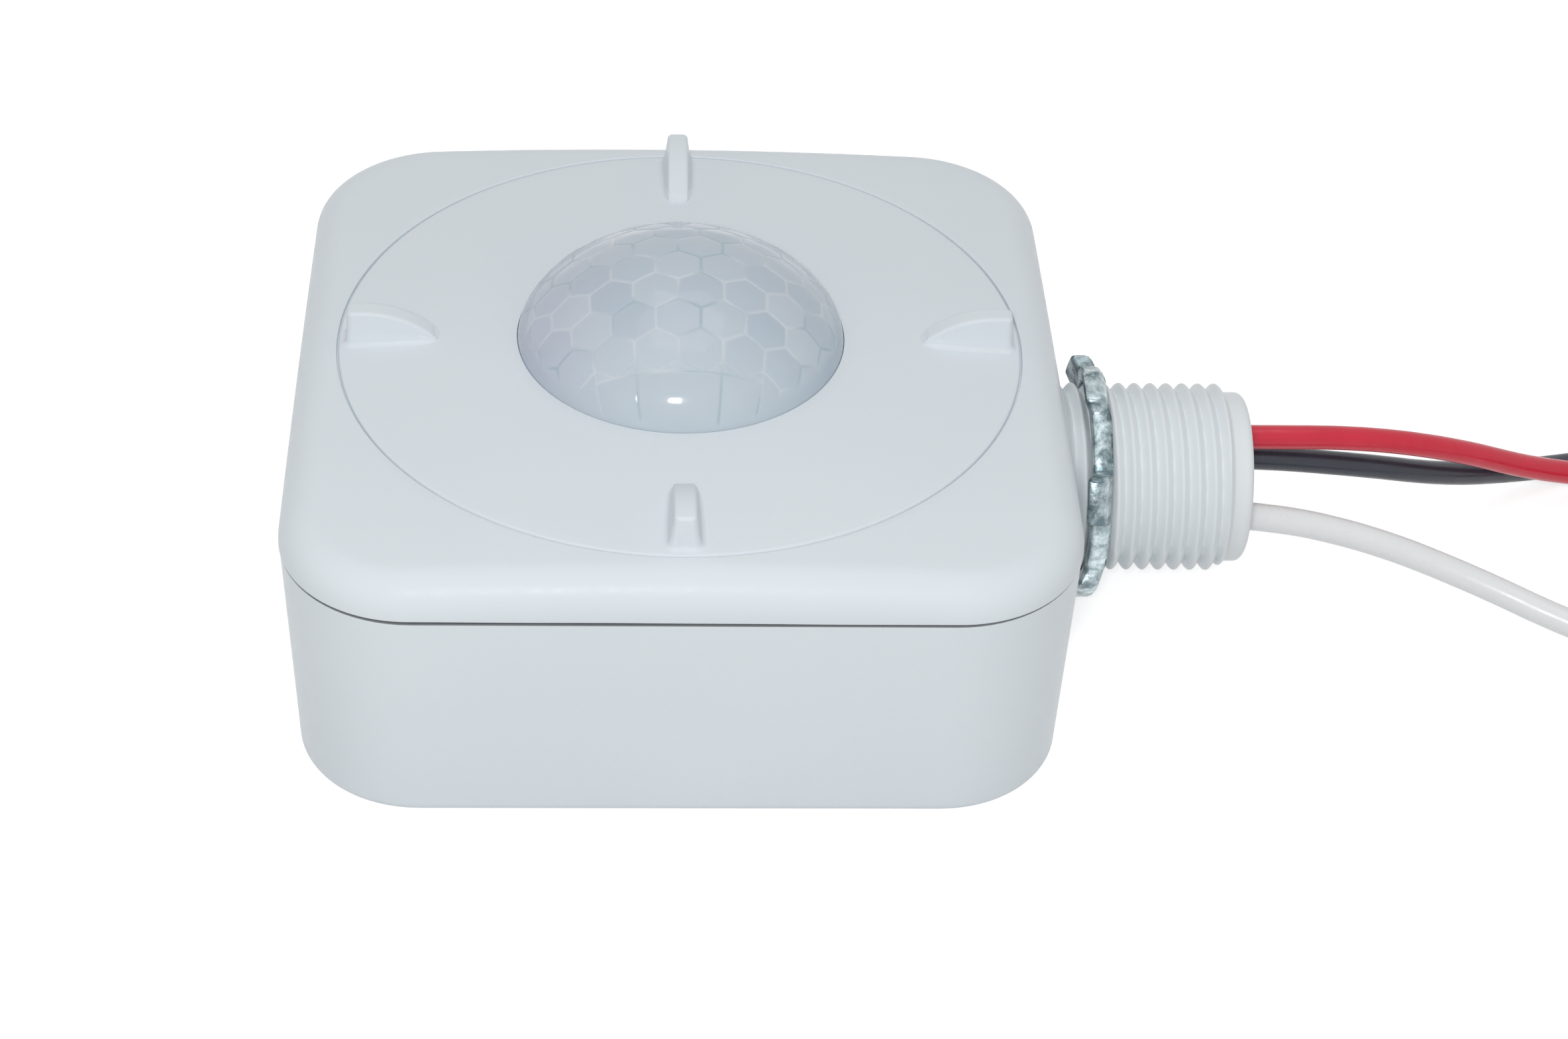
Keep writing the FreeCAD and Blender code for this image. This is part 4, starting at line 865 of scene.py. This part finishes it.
def facet_field(x, y):
    """Each map point's distance from the nearest facet border, and its facet's own shade."""
    across = (x - PATTERN_X) / FACET_WIDTH
    along = (y - PATTERN_Y) / FACET_ROW
    squash = math.sqrt(3) / 2
    row0 = np.round(along)
    best = []
    for row_step in (-1, 0, 1):
        row = row0 + row_step
        shift = 0.5 * (np.abs(row) % 2)
        column0 = np.round(across - shift)
        for column_step in (-1, 0, 1):
            column = column0 + column_step
            away = np.hypot(across - shift - column, (along - row) * squash)
            best.append(np.stack([away, column + shift, row]))
    best = np.stack(best)
    order = np.argsort(best[:, 0], axis=0)
    nearest = np.take_along_axis(best, order[:1][:, None], 0)[0]
    second = np.take_along_axis(best, order[1:2][:, None], 0)[0]
    border = (second[0] - nearest[0]) / 2 * FACET_WIDTH * 0.9
    column, row = nearest[1], nearest[2]

    # the lowest rows in front are upright boxes, and the middle two of them are one
    here = x - PATTERN_X
    front = (np.abs(here) < 2 * FACET_WIDTH) & (row <= -1)
    slot = np.floor(here / FACET_WIDTH)
    middle = (slot + 0.5) * FACET_WIDTH
    to_side = FACET_WIDTH / 2 - np.abs(here - middle)
    tall = front & (y > FLAT_ROW)
    upper = np.where(row == -1, border, 9.0)
    border = np.where(tall, np.minimum(np.minimum(to_side, y - FLAT_ROW), upper), border)
    low = front & (y <= FLAT_ROW)
    merged = np.abs(here) < FACET_WIDTH
    side = np.where(merged, FACET_WIDTH - np.abs(here), to_side)
    border = np.where(low, np.minimum(side, FLAT_ROW - y), border)
    column = np.where(front, np.where(low & merged, 0.0, slot + 0.5), column)
    row = np.where(low, -2, np.where(tall, -1, row))
    shade = 0.5 + 0.5 * np.sin(2.4 * column + 4.1 * row + 1.3 * column * row)
    return border, shade, low


def lens_faces(rings):
    """Faces between rings of LENS_AROUND points each, after the one point at the top."""
    count = LENS_AROUND
    faces = [(0, 1 + i, 1 + (i + 1) % count) for i in range(count)]
    for ring in range(rings - 1):
        base = 1 + ring * count
        for i in range(count):
            j = (i + 1) % count
            faces.append((base + i, base + count + i, base + count + j, base + j))
    last = 1 + (rings - 1) * count
    faces.append(tuple(range(last, last + count)))
    return faces


def make_lens():
    """The lens as one skin: the faceted outside, the flange, and the smooth inside."""
    span = DOME_SPAN * np.arange(1, LENS_RINGS + 1) / LENS_RINGS
    bearings = np.arange(LENS_AROUND) * math.tau / LENS_AROUND
    span, bearing = np.meshgrid(span, bearings, indexing="ij")
    border, shade, low = facet_field(span * np.cos(bearing), span * np.sin(bearing))
    fade = 1 - np.where(low, smooth_step(span, *BOX_FADE), smooth_step(span, *FACET_FADE))
    groove = np.exp(-((border / GROOVE_WIDTH) ** 2)) * fade
    bulge = smooth_step(border, 0, BULGE_WIDTH) - 1
    skin = dome_point(span, bearing, GROOVE_DEPTH * groove - FACET_BULGE * bulge * fade)
    flange = [
        circle_loop(LENS_FLANGE, SHOULDER_HEIGHT, LENS_AROUND),
        circle_loop(LENS_FLANGE, RING_LOW, LENS_AROUND),
        circle_loop(LENS_RADIUS - LENS_THICKNESS, RING_LOW, LENS_AROUND),
    ]
    inside = [
        dome_point(np.full(LENS_AROUND, reach), bearings, LENS_THICKNESS)
        for reach in np.linspace(DOME_SPAN, LENS_INNER_END, LENS_INNER_RINGS)
    ]
    rest = flange + inside
    top = np.array([[0.0, 0.0, CAP_CENTRE + CAP_RADIUS]])
    lens = make_piece(
        "faceted_lens",
        (np.concatenate([top, skin.reshape(-1, 3)] + rest), lens_faces(LENS_RINGS + len(rest))),
        "lens_ring",
        lens_plastic,
        ["dome_lens"],
        sharp=60,
        weld=False,
    )
    for name, values in (("border", groove), ("tint", shade * fade)):
        layer = lens.data.attributes.new(name, "FLOAT", "POINT")
        unseen = np.zeros(len(rest) * LENS_AROUND)
        full = np.concatenate([[values[0, 0]], values.reshape(-1), unseen])
        layer.data.foreach_set("value", full.astype(np.float32))


make_lens()


# ---------------------------------------------------------------- conduit nipple

NIPPLE_HEIGHT = 13.9
NIPPLE_START, NIPPLE_END = (corner.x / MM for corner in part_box("conduit_nipple"))
CREST_RADIUS = 10.67
ROOT_RADIUS = 9.6
BORE_RADIUS = 7.8
PITCH = 1.814
FIRST_THREAD = 41.6
LAST_THREAD = 61.9
CREST_PHASE = 61.0
THREAD_ROWS = 18
AROUND = 160
PARTING_SHIFT = 0.16
FLANGE_HALF_WIDTH = 13.0
FLANGE_HALF_HEIGHT = 10.7
FLANGE_FACE = NIPPLE_START + 2.4
END_ROUND = 0.9
BORE_BEVEL = 0.15


def thread_radius(x, angle):
    """The radius of the right-hand thread at a place along the nipple and an angle about it."""
    lower = 0.5 - 0.5 * np.sin(angle)
    half = smooth_step(lower, 0.62, 0.68)
    turned = (angle - math.pi / 2) / math.tau
    cycle = (x - CREST_PHASE - PARTING_SHIFT * half) / PITCH - turned
    wave = np.abs((cycle % 1.0) - 0.5) * 2
    sharp = np.clip(wave * 1.10 - 0.02, 0, 1)
    sharp = sharp - 0.10 * sharp**6
    rounded = np.sin(wave * math.pi / 2) ** 1.15
    shape = sharp * (1 - half) + rounded * half
    fade = np.clip((LAST_THREAD - x) / 0.7, 0, 1)
    return ROOT_RADIUS + (CREST_RADIUS - ROOT_RADIUS) * shape * fade


def nipple_loop(radius, x):
    """A ring about the nipple's axis. Radius and x may be one number or one for each point."""
    angle = np.arange(AROUND) * math.tau / AROUND
    radius = np.broadcast_to(radius, AROUND)
    x = np.broadcast_to(x, AROUND)
    return np.column_stack(
        [x, -radius * np.cos(angle), NIPPLE_HEIGHT + radius * np.sin(angle)]
    )


def threaded_nipple():
    """The tube's skin, in rings set close along the thread, so that the crests stay crisp."""
    angle = np.arange(AROUND) * math.tau / AROUND
    # seen from the outer end the near side comes first, and the thread climbs the other way
    about = math.pi - angle
    loops = [nipple_loop(BORE_RADIUS, NIPPLE_START), nipple_loop(CREST_RADIUS, NIPPLE_START)]
    rows = int((LAST_THREAD - FIRST_THREAD) / PITCH * THREAD_ROWS)
    for row in range(rows + 1):
        x = FIRST_THREAD + (LAST_THREAD - FIRST_THREAD) * row / rows
        loops.append(nipple_loop(thread_radius(x, about), x))
    collar = ROOT_RADIUS + 0.02
    for sine, cosine in quarter(6):
        radius = collar - END_ROUND * (1 - cosine)
        loops.append(nipple_loop(radius, NIPPLE_END - END_ROUND * (1 - sine)))
    loops.append(nipple_loop(BORE_RADIUS + BORE_BEVEL, NIPPLE_END))
    loops.append(nipple_loop(BORE_RADIUS, NIPPLE_END - BORE_BEVEL))
    flange = box(
        (NIPPLE_START, -FLANGE_HALF_WIDTH, NIPPLE_HEIGHT - FLANGE_HALF_HEIGHT),
        (FLANGE_FACE, FLANGE_HALF_WIDTH, NIPPLE_HEIGHT + FLANGE_HALF_HEIGHT),
    )
    return joined([loft(loops, closed=True), flange])


make_piece(
    "threaded_nipple",
    threaded_nipple(),
    "housing",
    nipple_plastic,
    ["conduit_nipple"],
    sharp=70,
)


# ---------------------------------------------------------------- locknut

NUT_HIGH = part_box("locknut")[1].x / MM
NUT_BORE = CREST_RADIUS + 0.06
NUT_RING = 12.45
NUT_LUG = 13.85
NUT_THICKNESS = 2.3
NUT_BACK = NUT_HIGH - NUT_THICKNESS
NUT_KNEE = NUT_RING - 0.7
LUG_BEND = 0.75
LUG_PITCH = 60
LUG_TURN = 55.0
LUG_SPAN = 12.0
LUG_EDGE = 2.2


def lug_share(bearing):
    """How much of a lug there is at a bearing in degrees: 0 in a notch, 1 on a lug."""
    half = LUG_PITCH / 2
    away = abs((bearing - LUG_TURN + half) % LUG_PITCH - half)
    return 1 - smooth_step(away, LUG_SPAN - LUG_EDGE, LUG_SPAN + LUG_EDGE)


def nut_section(bearing):
    """The (radius, x) points round the nut's section at a bearing in degrees."""
    lug = lug_share(bearing)
    outer = NUT_RING + (NUT_LUG - NUT_RING) * lug
    bend = LUG_BEND * lug
    return [
        (NUT_BORE, NUT_BACK + 0.35),
        (NUT_BORE, NUT_HIGH - 0.25),
        (NUT_BORE + 0.25, NUT_HIGH),
        (NUT_KNEE - 0.3, NUT_HIGH),
        (NUT_KNEE + 0.2, NUT_HIGH - 0.06 - 0.12 * bend),
        (outer - 0.55, NUT_HIGH - 0.15 - 0.62 * bend),
        (outer - 0.15, NUT_HIGH - 0.35 - 0.86 * bend),
        (outer, NUT_HIGH - 0.75 - bend),
        (outer, NUT_BACK + 0.45 - bend),
        (outer - 0.12, NUT_BACK + 0.14 - bend),
        (outer - 0.45, NUT_BACK - bend),
        (NUT_KNEE, NUT_BACK - 0.15 * bend),
        (NUT_BORE + 0.3, NUT_BACK),
    ]


def locknut():
    """A stamped ring whose lugs are dished back. Loops run through its section at each bearing."""
    loops = []
    for bearing in np.arange(AROUND * 2) * 360 / (AROUND * 2):
        angle = math.radians(bearing)
        radius, x = np.array(nut_section(bearing)).T
        y, z = -radius * math.sin(angle), NIPPLE_HEIGHT - radius * math.cos(angle)
        loops.append(np.column_stack([x, y, z]))
    return loft(loops, closed=True)


make_piece("zinc_locknut", locknut(), "locknut", zinc, ["locknut"], sharp=45)


# ---------------------------------------------------------------- CAD pieces' materials

CAD_FINISH = {
    "rear_housing": housing_shell,
    "lens_retainer": simple_plastic("retainer_plastic", (0.74, 0.77, 0.79)),
    "strain_relief": simple_plastic("potting", (0.60, 0.62, 0.62), 0.5, 0.6, 0.05),
    "power_board": board_material(),
    "sensor_board": board_material(),
    "power_board_screws": steel,
    "sensor_board_screws": steel,
    "pyro_can": plated_metal("can_metal", (0.72, 0.70, 0.65), (0.6, 0.58, 0.54), 0.25),
    "pyro_window": simple_plastic("filter_window", (0.10, 0.09, 0.12), 0.15),
    "indicator_led": simple_plastic("led_epoxy", (0.62, 0.05, 0.04), 0.15),
    "photocell": simple_plastic("photocell_resin", (0.60, 0.30, 0.12), 0.3),
    "dip_switch_block": simple_plastic("switch_blue", (0.03, 0.09, 0.40)),
    "trimmer_bodies": simple_plastic("trimmer_blue", (0.05, 0.16, 0.50)),
    "sensitivity_rotor": simple_plastic("rotor_white", (0.80, 0.79, 0.74)),
    "time_delay_rotor": simple_plastic("rotor_cream", (0.80, 0.77, 0.68)),
    "relay": simple_plastic("relay_black", (0.04, 0.045, 0.05), 0.45),
    "film_capacitor": simple_plastic("film_yellow", (0.70, 0.52, 0.08), 0.35),
    "electrolytic_capacitor": simple_plastic("sleeve_black", (0.05, 0.05, 0.08), 0.3),
    "transformer": simple_plastic("tape_yellow", (0.66, 0.55, 0.10), 0.45),
    "varistor": simple_plastic("varistor_blue", (0.08, 0.20, 0.50), 0.45),
    "line_fuse": simple_plastic("ceramic", (0.74, 0.71, 0.63), 0.5),
    "bridge_rectifier": simple_plastic("rectifier_black", (0.045, 0.045, 0.045), 0.5),
    "header_socket": simple_plastic("socket_black", (0.04, 0.04, 0.04), 0.5),
    "header_pins": steel,
    "solder_joints": tin,
}
for way in range(1, 5):
    CAD_FINISH[f"dip_slider_{way}"] = simple_plastic(f"slider_white_{way}", (0.80, 0.80, 0.78))
TIE = simple_plastic("tie_nylon", (0.05, 0.05, 0.055), 0.5)
for colour in ROUTES:
    CAD_FINISH[f"{colour}_tail"] = WIRES[colour]
    CAD_FINISH[f"{colour}_tie"] = TIE
    CAD_FINISH[f"{colour}_bare_end"] = tin


def finish_cad_nodes():
    """Gives each CAD piece that still shows its own material."""
    for name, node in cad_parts.items():
        if node.hide_render:
            continue
        node.data.materials.clear()
        node.data.materials.append(CAD_FINISH[name])


finish_cad_nodes()


# ---------------------------------------------------------------- floor, light and world

FLOOR_SIZE = 6.0
FLOOR_COLOUR = (0.72, 0.72, 0.72, 1)
FLOOR_GLOW = 0.65
AMBIENT = 0.49
LIT_POINT = Vector((0.01, 0.0, 0.02))


def camera_share(nodes, links):
    """1 for a ray that shows the background: one from the camera, a gloss or a pass through."""
    path = nodes.new("ShaderNodeLightPath")
    total = path.outputs["Is Camera Ray"]
    for other in ("Is Glossy Ray", "Is Transmission Ray"):
        add = nodes.new("ShaderNodeMath")
        add.operation = "MAXIMUM"
        links.new(total, add.inputs[0])
        links.new(path.outputs[other], add.inputs[1])
        total = add.outputs[0]
    return total


def make_floor():
    """A pale floor that glows where it's seen, so that it fades into the background."""
    mesh = bpy.data.meshes.new("floor")
    half = FLOOR_SIZE / 2
    corners = [(-half, -half, 0), (half, -half, 0), (half, half, 0), (-half, half, 0)]
    mesh.from_pydata(corners, [], [(0, 1, 2, 3)])
    floor = bpy.data.objects.new("floor", mesh)
    bpy.context.scene.collection.objects.link(floor)
    material = bpy.data.materials.new("pale_floor")
    material.use_nodes = True
    nodes, links = material.node_tree.nodes, material.node_tree.links
    shader = nodes["Principled BSDF"]
    shader.inputs["Base Color"].default_value = FLOOR_COLOUR
    shader.inputs["Roughness"].default_value = 0.9
    shader.inputs["Specular IOR Level"].default_value = 0.0
    shader.inputs["Emission Color"].default_value = (1, 1, 1, 1)
    glow = nodes.new("ShaderNodeMath")
    glow.operation = "MULTIPLY"
    glow.inputs[1].default_value = FLOOR_GLOW
    links.new(camera_share(nodes, links), glow.inputs[0])
    links.new(glow.outputs[0], shader.inputs["Emission Strength"])
    mesh.materials.append(material)


def make_world():
    """White where it's seen, and dimmer as a light on the sensor."""
    world = bpy.data.worlds.new("studio")
    bpy.context.scene.world = world
    world.use_nodes = True
    nodes, links = world.node_tree.nodes, world.node_tree.links
    background = nodes["Background"]
    background.inputs["Color"].default_value = (1, 1, 1, 1)
    strength = nodes.new("ShaderNodeMapRange")
    strength.inputs["To Min"].default_value = AMBIENT
    strength.inputs["To Max"].default_value = 1.0
    links.new(camera_share(nodes, links), strength.inputs["Value"])
    links.new(strength.outputs["Result"], background.inputs["Strength"])


def soft_box(name, place, size, power):
    """A square lamp that points at the sensor. size is a side of it, in metres."""
    data = bpy.data.lights.new(name, "AREA")
    data.size = size
    data.energy = power
    lamp = bpy.data.objects.new(name, data)
    lamp.location = place
    aim = LIT_POINT - Vector(place)
    lamp.rotation_euler = aim.to_track_quat("-Z", "Y").to_euler()
    bpy.context.scene.collection.objects.link(lamp)


make_floor()
make_world()
soft_box("camera_flash", (-0.026, -0.335, 0.290), 0.045, 0.64)
soft_box("ceiling_panel", (0.05, 0.15, 1.4), 0.9, 2.7)

bpy.context.scene.view_settings.view_transform = "Standard"
